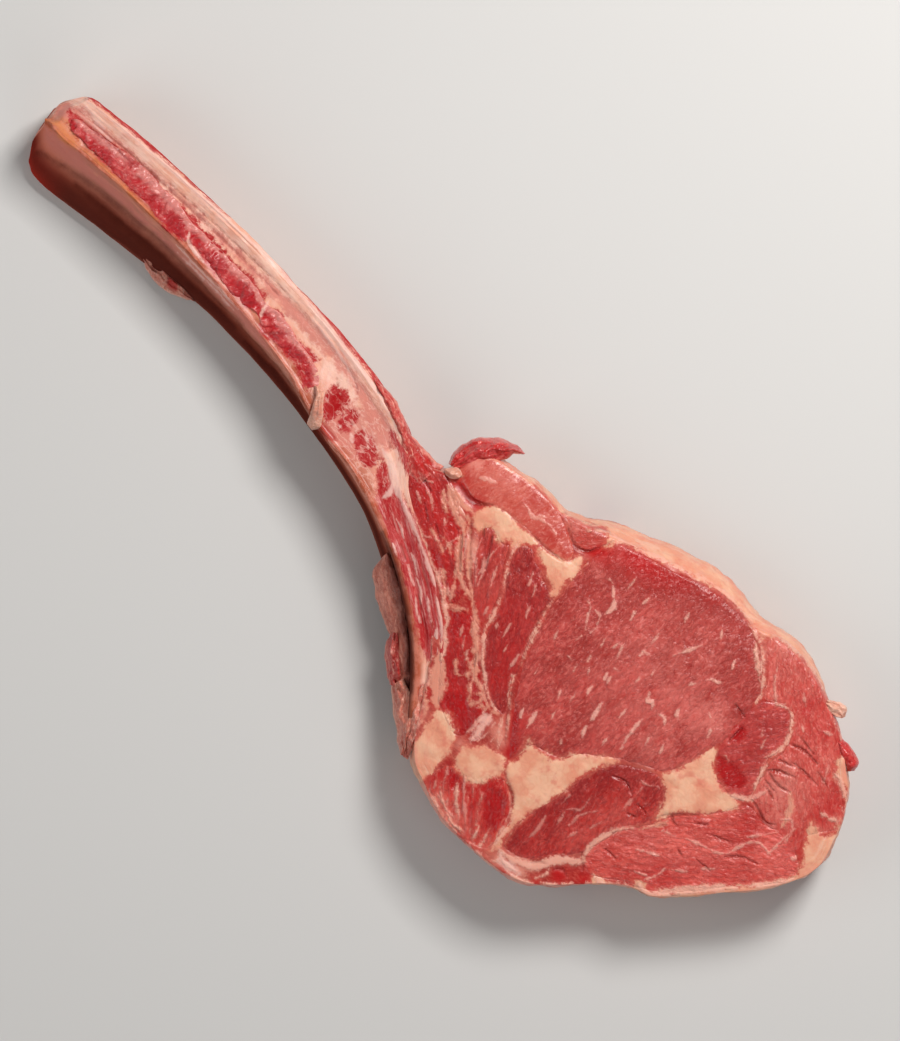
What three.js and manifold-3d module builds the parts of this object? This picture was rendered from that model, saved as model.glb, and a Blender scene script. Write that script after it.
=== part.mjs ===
// A raw tomahawk steak: one whole rib of beef with the thick slice of rib-eye still on its end.
// It lies on its lower cut face. Millimetres, +Z up, +X from the bare rib end towards the meat,
// origin under the middle of the steak's bounding box, on the surface that it lies on.
//
// The slice is cut across the muscles, so each muscle runs from the lower cut face to the upper
// one. Fat and silverskin fill what lies between them, and the rib passes along one side.
import * as THREE from "three";
import Module from "manifold-3d";
import { mergeVertices } from "three/addons/utils/BufferGeometryUtils.js";

// Driving dimensions
const steakLength = 487; // rib tip to the far side of the meat
const sliceEdgeThickness = 35.5; // where the cut face meets the side wall
const sliceRise = 4; // how far the middle of the cut face stands above its edge
const seamGap = 0.3; // clearance between neighbouring pieces
const curvedGap = 0.6; // clearance round the rib and along the curved side wall
const outlineStep = 7; // distance between points along an outline
const flatness = 0.05; // facets that are flat to within this are joined
const ribStations = 40;
const ribSectionPoints = 20;
const fleshStations = 40;
const fleshReach = [0.035, 0.9]; // where the red strip starts and ends along the rib
const fleshDepth = 7; // how far the red strip reaches down into the rib
const fleshRise = 0.6; // how far it stands above the rib's upper edge
const scrapStations = 10;
const scrapReach = [0.235, 0.3]; // where the scrap of membrane hangs along the rib
const drawnLength = 487; // the outlines below are drawn for a steak of this length

// Material looks
const looks = {
  lean: { color: 0xc0504a, roughness: 0.42 },
  darkLean: { color: 0xa83230, roughness: 0.4 },
  paleLean: { color: 0xce6458, roughness: 0.38 },
  fat: { color: 0xecc4a4, roughness: 0.45 },
  bone: { color: 0xe2b09c, roughness: 0.4 },
};

// The meat seen from above: x, y, and how far the upper cut face's edge lies inside that point.
const sliceOutline = [
  [-14, 39, 3], [-5, 40, 3], [-1, 45, 3], [0, 51, 2.5], [4, 57, 2.5], [13, 60.5, 2], [22, 61.5, 2],
  [32, 63.4, 3], [42, 63, 3], [51, 61.5, 2.5], [59, 64.4, 4], [67, 69, 6], [75, 72.6, 7],
  [84, 75.2, 7.5], [95, 79, 8], [106, 82.4, 8.5], [116, 84.6, 9], [126, 85.4, 9], [137, 84, 8.5],
  [148, 82.2, 7], [158, 82.8, 5.5], [168, 83.8, 5.5], [178, 82, 5.5], [188, 78.6, 5], [198, 72.4, 3.5],
  [208, 67, 3], [217, 60.4, 3], [225, 53.5, 4], [232, 45, 4], [237.5, 34, 3], [241, 24, 4],
  [243.4, 15, 4], [242, 6, 4], [237, -4, 4], [229.5, -14.5, 4.5], [220, -24, 5], [210.5, -33.5, 5],
  [200.5, -43, 5], [192, -49.6, 4], [183, -52, 3], [174, -57.5, 3], [165, -65.5, 4], [156, -74, 5],
  [146, -81.3, 5], [135, -84.6, 4.5], [122, -85.5, 4.5], [110, -85, 4.5], [99, -83.6, 4], [89, -80.8, 4],
  [79, -76.2, 4], [70, -71.6, 3], [62, -62, 2], [54, -47, 2], [45, -31, 2], [33, -17, 2], [19, -4, 2],
  [4, 8, 2], [-10, 18, 2], [-17, 30, 2],
];
const sliceCentre = [112, 5];

// Each muscle of the slice as seen on the cut face, anticlockwise or clockwise from one end.
const muscles = {
  eye_muscle: { look: "lean", outline: [
    [73.5, 57], [76, 62.5], [82, 66.5], [92, 68], [103, 70], [114, 73], [126, 75.5], [138, 75.5],
    [148, 73], [156, 70], [163, 64.5], [169, 57], [171, 50], [170.8, 42], [170.6, 32], [170, 22],
    [167, 13], [163.5, 4], [159, -2], [152, -4.5], [143, -8.5], [135, -14], [126, -20], [120, -27],
    [113, -29], [107, -29.5], [105, -35], [103.3, -42.5], [98, -36], [92, -27], [86, -17.5], [81, -7],
    [77.5, 4], [74.7, 14], [73, 25], [72.3, 38], [72.5, 48]] },
  side_muscle: { look: "darkLean", outline: [
    [44, 33.5], [47, 37.5], [51, 38.3], [55, 35], [61, 31.5], [67, 28.5], [70.6, 25], [72, 15],
    [75.4, 3.5], [79, -8], [84, -18.5], [89.5, -27.5], [83, -27], [75.5, -23], [69, -18], [63, -11.5],
    [59, -4.5], [57, 3], [54.5, 11], [50, 19], [45.8, 27]] },
  striped_muscle: { look: "darkLean", outline: [
    [28.5, 32], [33, 33.5], [38, 31], [42.3, 31.5], [44, 26], [48, 18], [52.3, 10.5], [54.8, 3],
    [54.5, -1.8], [49, -1], [44, 4], [38.5, 11], [33, 19], [29, 26]] },
  finger_muscle: { look: "darkLean", outline: [
    [-13, 35.5], [-5, 38], [3, 36.2], [12, 31], [20, 25], [26, 16.5], [33, 9], [38, 3.5],
    [38.6, -2.5], [35, -6], [27, -2.5], [18, 3.5], [9, 9.5], [0, 15.5], [-8, 21], [-14, 27]] },
  rib_muscle: { look: "darkLean", outline: [
    [40.5, -7], [46, -3.8], [53, -4.6], [57, -8.6], [61.5, -14.5], [67, -20.5], [74, -25.5],
    [80, -30], [79, -37], [79.5, -45], [76, -48], [69, -44.5], [62, -40.5], [56.5, -32.5],
    [50, -23], [43.5, -14]] },
  upper_muscle: { look: "paleLean", outline: [
    [2, 50], [4.5, 54.5], [11, 57.6], [20, 58.6], [30, 59.2], [40, 59], [49.5, 57.5], [57, 53.8],
    [63, 50], [66.5, 46], [65, 42.6], [58, 41.8], [48, 42.3], [38, 42.8], [28, 42], [22, 38.8],
    [16, 37.4], [10, 39.6], [5, 42.5], [2.4, 46]] },
  wedge_muscle: { look: "paleLean", outline: [
    [52, 59], [58, 60], [64, 62.6], [69.5, 65.5], [73, 64], [72.6, 59], [71.2, 54], [68, 51.4],
    [63, 52.6], [58, 56], [53.6, 58.2]] },
  outer_muscle: { look: "paleLean", outline: [
    [157.5, 75.6], [163, 77.6], [171, 77], [180, 75.5], [190, 72.6], [199, 67.6], [207, 62.5],
    [214, 56.5], [220, 49], [226, 42], [231, 35], [229, 29], [226, 23], [226, 17], [222, 12],
    [214, 12], [208, 11], [203, 13], [198.5, 14.6], [197, 20], [196, 27], [194, 33], [195, 40],
    [194, 46], [192, 51.5], [188.5, 56], [184, 57.6], [179, 56], [174, 53.5], [171.6, 57],
    [167, 64], [162, 69.6], [158, 72.4]] },
  nugget_muscle: { look: "darkLean", outline: [
    [184, 56], [188, 54.2], [191, 50], [192.6, 45], [193.2, 39.5], [192, 34], [193, 28], [194.6, 22],
    [195.6, 16], [194, 11.5], [189, 10], [184, 10.2], [179.5, 12], [176, 15.5], [173.5, 19.5],
    [172.2, 25], [171.9, 32], [171.9, 40], [172.2, 47], [174.4, 51.6], [179, 54.4]] },
  lower_muscle: { look: "lean", outline: [
    [157, -51], [158.6, -44], [161, -37], [164, -31.5], [168, -27], [171.5, -22], [174, -16.5],
    [177, -12], [182, -8.4], [187, -3.6], [192, 2], [195.4, 7], [199, 11.6], [204, 10.6], [209, 9],
    [215, 10.2], [222, 10.4], [229, 7], [234, 2], [231, -5], [225.5, -12], [218, -19], [210, -27],
    [202, -35], [195, -42], [189, -46], [182, -48], [174, -52.6], [167, -56.5], [161, -56.5]] },
  tail_muscle: { look: "darkLean", outline: [
    [159, -4.2], [164, -6.5], [167.5, -10.5], [169, -16], [168.5, -21], [165.5, -26.5],
    [161.5, -31.5], [158.5, -38], [156.4, -45], [155.4, -51.5], [151, -56.5], [146, -60.5],
    [142, -66], [137, -70.5], [131, -72.8], [126, -72.8], [124.3, -67], [125, -58], [127.5, -49],
    [130.5, -40], [132.5, -31], [135, -23], [139, -16], [144, -11], [150, -7.5], [155, -5]] },
  chine_muscle: { look: "darkLean", outline: [
    [81.5, -68], [84, -61.5], [90, -61], [97, -60], [101, -55], [106, -50.8], [111, -51.8],
    [116, -56], [119, -62], [120.4, -70], [120, -77], [115, -80], [107, -80], [98, -78], [90, -75.5],
    [84, -72.5]] },
};

// The rib along its upper edge: x, y, then across it from the hollow inner side to the outer side
// the reach of the foot, the two rims of the upper edge and the outer face, and the upper height.
const ribCourse = [
  { at: [-241.5, 52], foot: -20, inner: -7, outer: 8, side: 9.5, top: 29 },
  { at: [-236, 53], foot: -28, inner: -9.5, outer: 9.5, side: 11.5, top: 33 },
  { at: [-222, 53.5], foot: -31.5, inner: -10.5, outer: 10.5, side: 13, top: 34.5 },
  { at: [-195, 53.5], foot: -30, inner: -10.5, outer: 10.5, side: 13.3, top: 35 },
  { at: [-165, 52], foot: -27.5, inner: -11, outer: 11, side: 13.4, top: 35 },
  { at: [-135, 49.5], foot: -23.6, inner: -12, outer: 12, side: 14, top: 35 },
  { at: [-105, 45], foot: -22, inner: -12.5, outer: 13, side: 15, top: 35 },
  { at: [-80, 40], foot: -21, inner: -13.5, outer: 14, side: 17, top: 35.5 },
  { at: [-55, 32], foot: -18, inner: -15, outer: 15.5, side: 19.5, top: 35.5 },
  { at: [-32, 23], foot: -16, inner: -11, outer: 15, side: 19.5, top: 36 },
  { at: [-12, 13], foot: -13.5, inner: -8.5, outer: 8, side: 11, top: 36.5 },
  { at: [8, 1.5], foot: -15, inner: -7.5, outer: 6.5, side: 8, top: 36.5 },
  { at: [25, -10.5], foot: -18, inner: -7.5, outer: 6.5, side: 8, top: 36.5 },
  { at: [41, -24], foot: -18.5, inner: -7.5, outer: 6, side: 7.5, top: 36 },
  { at: [53.5, -39], foot: -18, inner: -7, outer: 5.5, side: 7, top: 35 },
  { at: [61, -52], foot: -13, inner: -5.5, outer: 4.5, side: 6, top: 33 },
  { at: [66, -63], foot: -7, inner: -3, outer: 3, side: 4, top: 29 },
];

const wasm = await Module();
wasm.setup();

// Points along a smooth closed line through the given points, a fixed step apart.
function smoothLoop(points, step) {
  const curve = new THREE.CatmullRomCurve3(
    points.map(([x, y, z = 0]) => new THREE.Vector3(x, y, z)), true, "centripetal");
  const count = Math.round(curve.getLength() / step);
  return curve.getSpacedPoints(count).slice(0, count);
}

// Unit steps out of a flat loop at each of its points.
function outwardSteps(loop) {
  const turn = Math.sign(THREE.ShapeUtils.area(loop));
  return loop.map((p, k) => {
    const ahead = loop[(k + 1) % loop.length];
    const behind = loop[(k + loop.length - 1) % loop.length];
    return new THREE.Vector3(ahead.y - behind.y, behind.x - ahead.x, 0).normalize().multiplyScalar(turn);
  });
}

// A closed body from loops of equal length, stacked from one end to the other, each end drawn
// together at an apex.
function stackLoops(loops, firstApex, lastApex) {
  const count = loops[0].length;
  const vertices = loops.flat().concat(firstApex, lastApex);
  const corner = (row, k) => row * count + (k % count);
  const first = loops.length * count;
  const faces = [];
  for (let k = 0; k < count; k++) {
    faces.push(first, corner(0, k + 1), corner(0, k));
    for (let row = 0; row + 1 < loops.length; row++) {
      faces.push(corner(row, k), corner(row, k + 1), corner(row + 1, k + 1));
      faces.push(corner(row, k), corner(row + 1, k + 1), corner(row + 1, k));
    }
    faces.push(first + 1, corner(loops.length - 1, k), corner(loops.length - 1, k + 1));
  }
  const geometry = new THREE.BufferGeometry().setFromPoints(vertices);
  geometry.setIndex(faces);
  return geometry;
}

// A manifold-3d solid from a closed three.js geometry, turned so that its faces point out.
function solidOf(geometry) {
  const plain = geometry.clone();
  plain.deleteAttribute("normal");
  plain.deleteAttribute("uv");
  const merged = mergeVertices(plain, 1e-4);
  const build = (triVerts) =>
    new wasm.Manifold(new wasm.Mesh({
      numProp: 3,
      vertProperties: merged.attributes.position.array,
      triVerts,
    }));
  const triangles = new Uint32Array(merged.index.array);
  const solid = build(triangles);
  return solid.volume() > 0 ? solid : build(triangles.slice().reverse());
}

// The largest body of a solid as a three.js geometry: crumbs left by a cut are dropped.
function geometryOf(solid) {
  const largest = solid.decompose().reduce((a, b) => (a.volume() > b.volume() ? a : b));
  const mesh = largest.simplify(flatness).getMesh();
  const geometry = new THREE.BufferGeometry();
  const corners = new Float32Array(mesh.vertProperties);
  geometry.setAttribute("position", new THREE.BufferAttribute(corners, 3));
  geometry.setIndex(new THREE.BufferAttribute(new Uint32Array(mesh.triVerts), 1));
  return geometry;
}

// The whole slice before it is parted into muscles and fat: a bulging wall between a flat lower
// face and a gently crowned upper face.
function sliceBody() {
  const loop = smoothLoop(sliceOutline, outlineStep);
  const outward = outwardSteps(loop);
  const wall = [ // height, share of the cut face's inset, plain inset
    [0, 0, 4], [2, 0, 1.6], [8, 0, 0.2], [15, 0, 0], [sliceEdgeThickness - 12, 0.25, 0],
    [sliceEdgeThickness - 5.5, 0.65, 0], [sliceEdgeThickness - 1.5, 0.95, 0], [sliceEdgeThickness, 1, 1.5],
  ];
  const loops = wall.map(([height, share, plain]) =>
    loop.map((p, k) => p.clone().addScaledVector(outward[k], -share * p.z - plain).setZ(height)));
  const rim = loops.at(-1);
  const centre = new THREE.Vector3(...sliceCentre, 0);
  for (const share of [0.86, 0.62, 0.34]) {
    loops.push(rim.map((p) => {
      const drawnIn = centre.clone().lerp(p, share);
      return drawnIn.setZ(sliceEdgeThickness + sliceRise * (1 - share * share));
    }));
  }
  const crown = centre.clone().setZ(sliceEdgeThickness + sliceRise);
  return stackLoops(loops, centre, crown);
}

// A place on the rib's course, 0 at the bare tip and 1 at the end inside the meat: the middle, the
// heading, the direction across and the section's measures there.
function ribPlace(t) {
  const place = THREE.MathUtils.clamp(t, 0, 1) * (ribCourse.length - 1);
  const low = Math.min(Math.floor(place), ribCourse.length - 2);
  const value = (key) => THREE.MathUtils.lerp(ribCourse[low][key], ribCourse[low + 1][key], place - low);
  const path = new THREE.CatmullRomCurve3(
    ribCourse.map((c) => new THREE.Vector3(...c.at, 0)), false, "centripetal");
  const heading = path.getTangent(t);
  return {
    middle: path.getPoint(t),
    heading,
    across: new THREE.Vector3(-heading.y, heading.x, 0),
    foot: value("foot"),
    inner: value("inner"),
    outer: value("outer"),
    side: value("side"),
    top: value("top"),
  };
}

// The middle of a loop, moved by a step: the apex that closes a row of loops.
function apexOf(loop, step) {
  const sum = loop.reduce((total, p) => total.add(p), new THREE.Vector3());
  return sum.divideScalar(loop.length).add(step);
}

// The rib: a rounded, slanting section with a hollow inner side, carried along its course.
function ribBody(grow) {
  const loops = [];
  for (let k = 0; k <= ribStations; k++) {
    const { middle, heading, across, foot, inner, outer, side, top } = ribPlace(k / ribStations);
    middle.addScaledVector(heading, { 0: -grow, [ribStations]: grow }[k] ?? 0);
    const section = [ // reach across, height
      [inner, top - 1.5], [(inner + outer) / 2, top], [outer, top - 1.5], [side, top * 0.72],
      [side - 1.5, top * 0.36], [outer - 5, 4], [(foot + outer) / 2, 0], [foot + 5, 0],
      [foot, 6], [foot * 0.6 + inner * 0.4 + 1.5, top * 0.52],
    ];
    const outline = new THREE.CatmullRomCurve3(
      section.map(([reach, height]) => new THREE.Vector3(reach, height, 0)), true, "centripetal");
    const points = outline.getSpacedPoints(ribSectionPoints).slice(0, ribSectionPoints);
    const core = new THREE.Vector3((inner + outer) / 2, top * 0.55, 0);
    loops.push(points.map((p) => {
      const outward = p.clone().sub(core).normalize();
      const spread = p.addScaledVector(outward, grow);
      const height = grow ? spread.y : Math.max(spread.y, 0);
      return middle.clone().addScaledVector(across, spread.x).setZ(height);
    }));
  }
  return stackLoops(loops, apexOf(loops[0], new THREE.Vector3(-2.8 - grow, 0, 0)),
    apexOf(loops.at(-1), new THREE.Vector3(2 + grow, -2 - grow, 0)));
}

// The strip of red flesh let into the rib's upper edge: a low rounded bar that tapers at both ends.
function fleshStrip(grow) {
  const loops = [];
  for (let k = 0; k <= fleshStations; k++) {
    const share = k / fleshStations;
    const { middle, across, inner, outer, top } = ribPlace(THREE.MathUtils.lerp(...fleshReach, share));
    const taper = Math.sqrt(Math.sin(Math.PI * THREE.MathUtils.lerp(0.03, 0.97, share)));
    const halfWidth = (outer - inner) * 0.22 * taper + 1 + grow;
    const shift = (inner + outer) / 2 - 1;
    const section = [
      [-1, top - fleshDepth - grow], [1, top - fleshDepth - grow], [1, top - 1],
      [0.5, top + fleshRise + grow], [-0.5, top + fleshRise + grow], [-1, top - 1],
    ];
    loops.push(section.map(([reach, height]) =>
      middle.clone().addScaledVector(across, shift + reach * halfWidth).setZ(height)));
  }
  return stackLoops(loops, apexOf(loops[0], new THREE.Vector3(-1 - grow, 0, 0)),
    apexOf(loops.at(-1), new THREE.Vector3(1 + grow, -1 - grow, 0)));
}

// A loose scrap of membrane at the rib's foot: a flat tongue that hangs out from under it.
function scrapBody() {
  const loops = [];
  for (let k = 0; k <= scrapStations; k++) {
    const share = k / scrapStations;
    const { middle, across, foot } = ribPlace(THREE.MathUtils.lerp(...scrapReach, share));
    const swell = Math.sqrt(Math.sin(Math.PI * THREE.MathUtils.lerp(0.06, 0.94, share)));
    const section = [
      [3, 0], [-4.2 * swell, 0], [-4.8 * swell, 2.5], [-2, 5.5 * swell + 1], [3, 6 * swell + 1],
    ];
    loops.push(section.map(([reach, height]) =>
      middle.clone().addScaledVector(across, foot + reach).setZ(height)));
  }
  const noStep = new THREE.Vector3();
  return stackLoops(loops, apexOf(loops[0], noStep), apexOf(loops.at(-1), noStep));
}

// A muscle's outline as an upright prism that passes through the whole slice, grown by a margin.
function prism(outline, grow) {
  const loop = smoothLoop(outline, outlineStep * 0.8);
  const outward = outwardSteps(loop);
  const grown = loop.map((p, k) => p.clone().addScaledVector(outward[k], grow));
  const depth = sliceEdgeThickness + sliceRise + 4;
  const geometry = new THREE.ExtrudeGeometry(new THREE.Shape(grown), { depth, bevelEnabled: false });
  return geometry.translate(0, 0, -2);
}

// The curl of trimmed lean that hangs off the upper muscle's end: a tapering bent sausage.
function curlBody() {
  const course = new THREE.CatmullRomCurve3([
    new THREE.Vector3(-1.6, 46.2, 20), new THREE.Vector3(-1.8, 52, 22), new THREE.Vector3(1.4, 58.6, 24),
    new THREE.Vector3(6.6, 63.4, 26), new THREE.Vector3(12.4, 66.2, 27), new THREE.Vector3(19.4, 67.6, 27),
  ]);
  const thickness = [2.2, 3.4, 4.2, 4.3, 3.4, 0.8];
  const stations = 12;
  const loops = [];
  for (let k = 0; k <= stations; k++) {
    const t = k / stations;
    const place = t * (thickness.length - 1);
    const low = Math.min(Math.floor(place), thickness.length - 2);
    const radius = THREE.MathUtils.lerp(thickness[low], thickness[low + 1], place - low);
    const middle = course.getPoint(t);
    const heading = course.getTangent(t);
    const across = new THREE.Vector3(-heading.y, heading.x, 0).normalize();
    loops.push(Array.from({ length: 8 }, (_, m) => {
      const angle = (m / 8) * 2 * Math.PI;
      return middle.clone().addScaledVector(across, radius * Math.cos(angle))
        .add(new THREE.Vector3(0, 0, radius * 2.1 * Math.sin(angle)));
    }));
  }
  return stackLoops(loops, course.getPoint(0).add(new THREE.Vector3(0, -1.5, 0)),
    course.getPoint(1).add(new THREE.Vector3(0.8, 0.1, 0)));
}

// A named mesh with the look of its material.
function pieceOf(name, look, geometry) {
  const material = new THREE.MeshStandardMaterial({ ...looks[look], metalness: 0 });
  const mesh = new THREE.Mesh(geometry, material);
  mesh.name = name;
  return mesh;
}

const steak = new THREE.Group();
const slice = solidOf(sliceBody());
const ribRoom = solidOf(ribBody(curvedGap));
const fleshRoom = solidOf(fleshStrip(curvedGap));
const meat = slice.subtract(ribRoom).subtract(fleshRoom);

const rib = solidOf(ribBody(0)).subtract(solidOf(fleshStrip(seamGap)));
steak.add(pieceOf("rib_bone", "bone", geometryOf(rib)));
steak.add(pieceOf("rib_flesh", "darkLean", geometryOf(solidOf(fleshStrip(0)))));
steak.add(pieceOf("rib_scrap", "fat", geometryOf(solidOf(scrapBody()).subtract(ribRoom))));

let fat = meat;
for (const [name, { look, outline }] of Object.entries(muscles)) {
  fat = fat.subtract(solidOf(prism(outline, seamGap)));
  steak.add(pieceOf(name, look, geometryOf(meat.intersect(solidOf(prism(outline, 0))))));
}
steak.add(pieceOf("fat_and_silverskin", "fat", geometryOf(fat)));

const sliceRoom = solidOf(prism(sliceOutline, curvedGap));
const curl = solidOf(curlBody()).subtract(sliceRoom).subtract(ribRoom);
steak.add(pieceOf("curl_flap", "paleLean", geometryOf(curl)));

steak.scale.setScalar(steakLength / drawnLength);

export default steak;
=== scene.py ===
import math
import bpy
import numpy as np
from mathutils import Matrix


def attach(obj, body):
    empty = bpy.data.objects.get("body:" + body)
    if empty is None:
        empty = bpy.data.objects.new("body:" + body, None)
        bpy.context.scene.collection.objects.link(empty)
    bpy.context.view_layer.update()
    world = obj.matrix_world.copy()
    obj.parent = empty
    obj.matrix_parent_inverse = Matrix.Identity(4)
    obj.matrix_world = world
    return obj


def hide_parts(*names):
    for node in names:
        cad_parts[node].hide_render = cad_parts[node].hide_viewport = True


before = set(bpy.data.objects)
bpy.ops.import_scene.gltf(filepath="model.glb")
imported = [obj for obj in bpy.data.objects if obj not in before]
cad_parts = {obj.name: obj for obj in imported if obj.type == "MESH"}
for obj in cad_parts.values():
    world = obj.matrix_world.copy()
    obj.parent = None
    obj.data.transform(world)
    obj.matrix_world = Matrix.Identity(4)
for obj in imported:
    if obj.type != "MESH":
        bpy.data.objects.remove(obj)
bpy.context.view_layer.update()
print("frame loaded:", len(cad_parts), "nodes")

mm = 0.001  # shapes are worked out in millimetres and go into the meshes in metres
farOff = 9.0  # a distance in millimetres past which no mark reaches


# ---------- noise, lines and distances ----------

# Value noise: random heights at whole-number places, blended between them by 3t^2 - 2t^3; -1 to 1.
def latticeNoise(place, seed):
    whole = np.floor(place).astype(np.int64)
    part = place - whole
    part = part * part * (3 - 2 * part)
    total = np.zeros(place.shape[:-1])
    for corner in range(8):
        step = np.array([corner & 1, corner >> 1 & 1, corner >> 2])
        key = ((whole + step) * np.array([374761393, 668265263, 1442695041])).sum(-1) + seed * 974634777
        key = (key ^ key >> 13) & 0xffffffff
        key = key * 1274126177 & 0xffffffff
        height = ((key ^ key >> 16) & 0xffff) / 32767.5 - 1
        total += height * np.where(step, part, 1 - part).prod(-1)
    return total


# Fractal noise: each further octave is half as large and half as strong. size is the largest swell in mm.
def cloudNoise(x, y, z, size, seed, octaves=3):
    place = np.stack(np.broadcast_arrays(x, y, z), -1) / size
    total = 0
    for octave in range(octaves):
        total = total + latticeNoise(place * 2 ** octave + octave * 17.3, seed + octave) * 0.5 ** octave
    return total


# Noise drawn out along a direction in the plan: long and thin swells, like fibres.
def fibreNoise(x, y, angle, across, along, seed, octaves=2):
    turn = math.radians(angle)
    run = x * math.cos(turn) + y * math.sin(turn)
    side = -x * math.sin(turn) + y * math.cos(turn)
    return cloudNoise(run / along, side / across, 0.37 * seed, 1, seed, octaves)


# 0 below low, 1 above high, eased between them.
def ease(value, low, high):
    t = np.clip((value - low) / (high - low), 0, 1)
    return t * t * (3 - 2 * t)


# Running length along a line of points.
def lengthAlong(line):
    return np.concatenate([[0], np.hypot(*np.diff(line[:, :2], axis=0).T).cumsum()])


# A Catmull-Rom curve through the points, resampled at even steps of length. Further columns are carried along.
def smoothLine(points, count, closed=False):
    points = np.asarray(points, float)
    if closed:
        padded = np.vstack([points[-1:], points, points[:2]])
    else:
        padded = np.vstack([2 * points[0] - points[1], points, 2 * points[-1] - points[-2]])
    p0, p1, p2, p3 = (padded[k:len(padded) - 3 + k, None] for k in range(4))
    t = np.linspace(0, 1, 12, endpoint=False)[None, :, None]
    curve = 0.5 * (2 * p1 + (p2 - p0) * t + (2 * p0 - 5 * p1 + 4 * p2 - p3) * t ** 2
                   + (3 * p1 - p0 - 3 * p2 + p3) * t ** 3)
    curve = np.vstack([curve.reshape(-1, points.shape[1]), points[:1] if closed else points[-1:]])
    run = lengthAlong(curve)
    places = np.linspace(0, run[-1], count, endpoint=not closed)
    return np.stack([np.interp(places, run, column) for column in curve.T], -1)


# Distance from places to the stretch between two points, and the share of that stretch at the nearest point.
def stretchDistance(x, y, a, b):
    step = b[:2] - a[:2]
    share = np.clip(((x - a[0]) * step[0] + (y - a[1]) * step[1]) / max(step @ step, 1e-9), 0, 1)
    return np.hypot(x - a[0] - share * step[0], y - a[1] - share * step[1]), share


# Distance from places to the nearest of some lines, less half the line's width, which thins to both ends.
# Each line is (width, points); below 0 is on the line.
def lineField(x, y, lines):
    best = np.full(x.shape, farOff)
    for width, points in lines:
        line = smoothLine(points, int(3 + lengthAlong(np.asarray(points, float))[-1] / 1.5))
        low, high = line.min(0) - 4, line.max(0) + 4
        near = (x > low[0]) & (x < high[0]) & (y > low[1]) & (y < high[1])
        if not near.any():
            continue
        px, py, found = x[near], y[near], best[near]
        last = len(line) - 1
        for k in range(last):
            gap, share = stretchDistance(px, py, line[k], line[k + 1])
            half = width / 2 * np.sin(np.pi * np.clip((k + share) / last, 0.03, 0.97)) ** 0.6
            found = np.minimum(found, gap - half)
        best[near] = found
    return best


# Distance from places to a closed outline, below 0 inside it.
def outlineField(x, y, outline):
    best = np.full(x.shape, 1e3)
    inside = np.zeros(x.shape, bool)
    for a, b in zip(outline, np.roll(outline, -1, 0)):
        best = np.minimum(best, stretchDistance(x, y, a, b)[0])
        rise = b[1] - a[1] if b[1] != a[1] else 1e-9
        inside ^= ((a[1] > y) != (b[1] > y)) & (x < (b[0] - a[0]) * (y - a[1]) / rise + a[0])
    return np.where(inside, -best, best)


# The nearest of several closed patches, each given by a few points of its outline.
def patchField(x, y, patches):
    best = np.full(x.shape, farOff)
    for points in patches:
        outline = smoothLine(points, 12 + 3 * len(points), closed=True)
        low, high = outline.min(0) - 5, outline.max(0) + 5
        near = (x > low[0]) & (x < high[0]) & (y > low[1]) & (y < high[1])
        if near.any():
            best[near] = np.minimum(best[near], outlineField(x[near], y[near], outline))
    return best


# Soft round spots, each (x, y, radius, strength), added up: strength times exp(-(distance / radius)^2).
def spotField(x, y, spots):
    total = np.zeros(x.shape)
    for spotX, spotY, radius, strength in spots:
        total += strength * np.exp(-((x - spotX) ** 2 + (y - spotY) ** 2) / radius ** 2)
    return total


# ---------- meshes ----------

# Closed skin from rings of points: four-sided faces between neighbouring rings, and a fan to a pole at each end.
# values holds one number for each ring point, by name; a pole takes its ring's middle value.
def skinPiece(name, rings, poles, values, material, nodes):
    ringCount, pointCount = rings.shape[:2]
    places = np.vstack([rings.reshape(-1, 3), np.asarray(poles, float)]) * mm
    index = np.arange(ringCount * pointCount).reshape(ringCount, pointCount)
    after = np.roll(index, -1, 1)
    quads = np.stack([index[:-1], after[:-1], after[1:], index[1:]], -1).reshape(-1, 4)
    firstPole = ringCount * pointCount
    fans = np.vstack([
        np.stack([after[0], index[0], np.full(pointCount, firstPole)], -1),
        np.stack([index[-1], after[-1], np.full(pointCount, firstPole + 1)], -1),
    ])
    corners = places[quads]
    across = np.cross(corners[:, 2] - corners[:, 0], corners[:, 3] - corners[:, 1])
    if (across * corners.mean(1)).sum() < 0:  # the skin's volume is below 0, so its faces look inwards
        quads, fans = quads[:, ::-1], fans[:, ::-1]
    mesh = bpy.data.meshes.new(name)
    mesh.vertices.add(len(places))
    mesh.vertices.foreach_set("co", places.ravel())
    mesh.loops.add(quads.size + fans.size)
    mesh.loops.foreach_set("vertex_index", np.concatenate([quads.ravel(), fans.ravel()]).astype(np.int32))
    mesh.polygons.add(len(quads) + len(fans))
    starts = np.concatenate([np.arange(len(quads)) * 4, quads.size + np.arange(len(fans)) * 3])
    mesh.polygons.foreach_set("loop_start", starts.astype(np.int32))
    mesh.update(calc_edges=True)
    mesh.shade_smooth()
    for label, field in values.items():
        field = np.broadcast_to(field, (ringCount, pointCount))
        flat = np.concatenate([field.ravel(), [field[0].mean(), field[-1].mean()]]).astype(np.float32)
        mesh.attributes.new(label, "FLOAT", "POINT").data.foreach_set("value", flat)
    mesh.materials.append(material)
    piece = bpy.data.objects.new(name, mesh)
    bpy.context.scene.collection.objects.link(piece)
    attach(piece, "root")
    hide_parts(*nodes)
    print("  ", name, len(quads) * 2 + len(fans), "triangles")
    return piece


# ---------- the cut face: its outline, its height and the marks on it ----------

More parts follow.
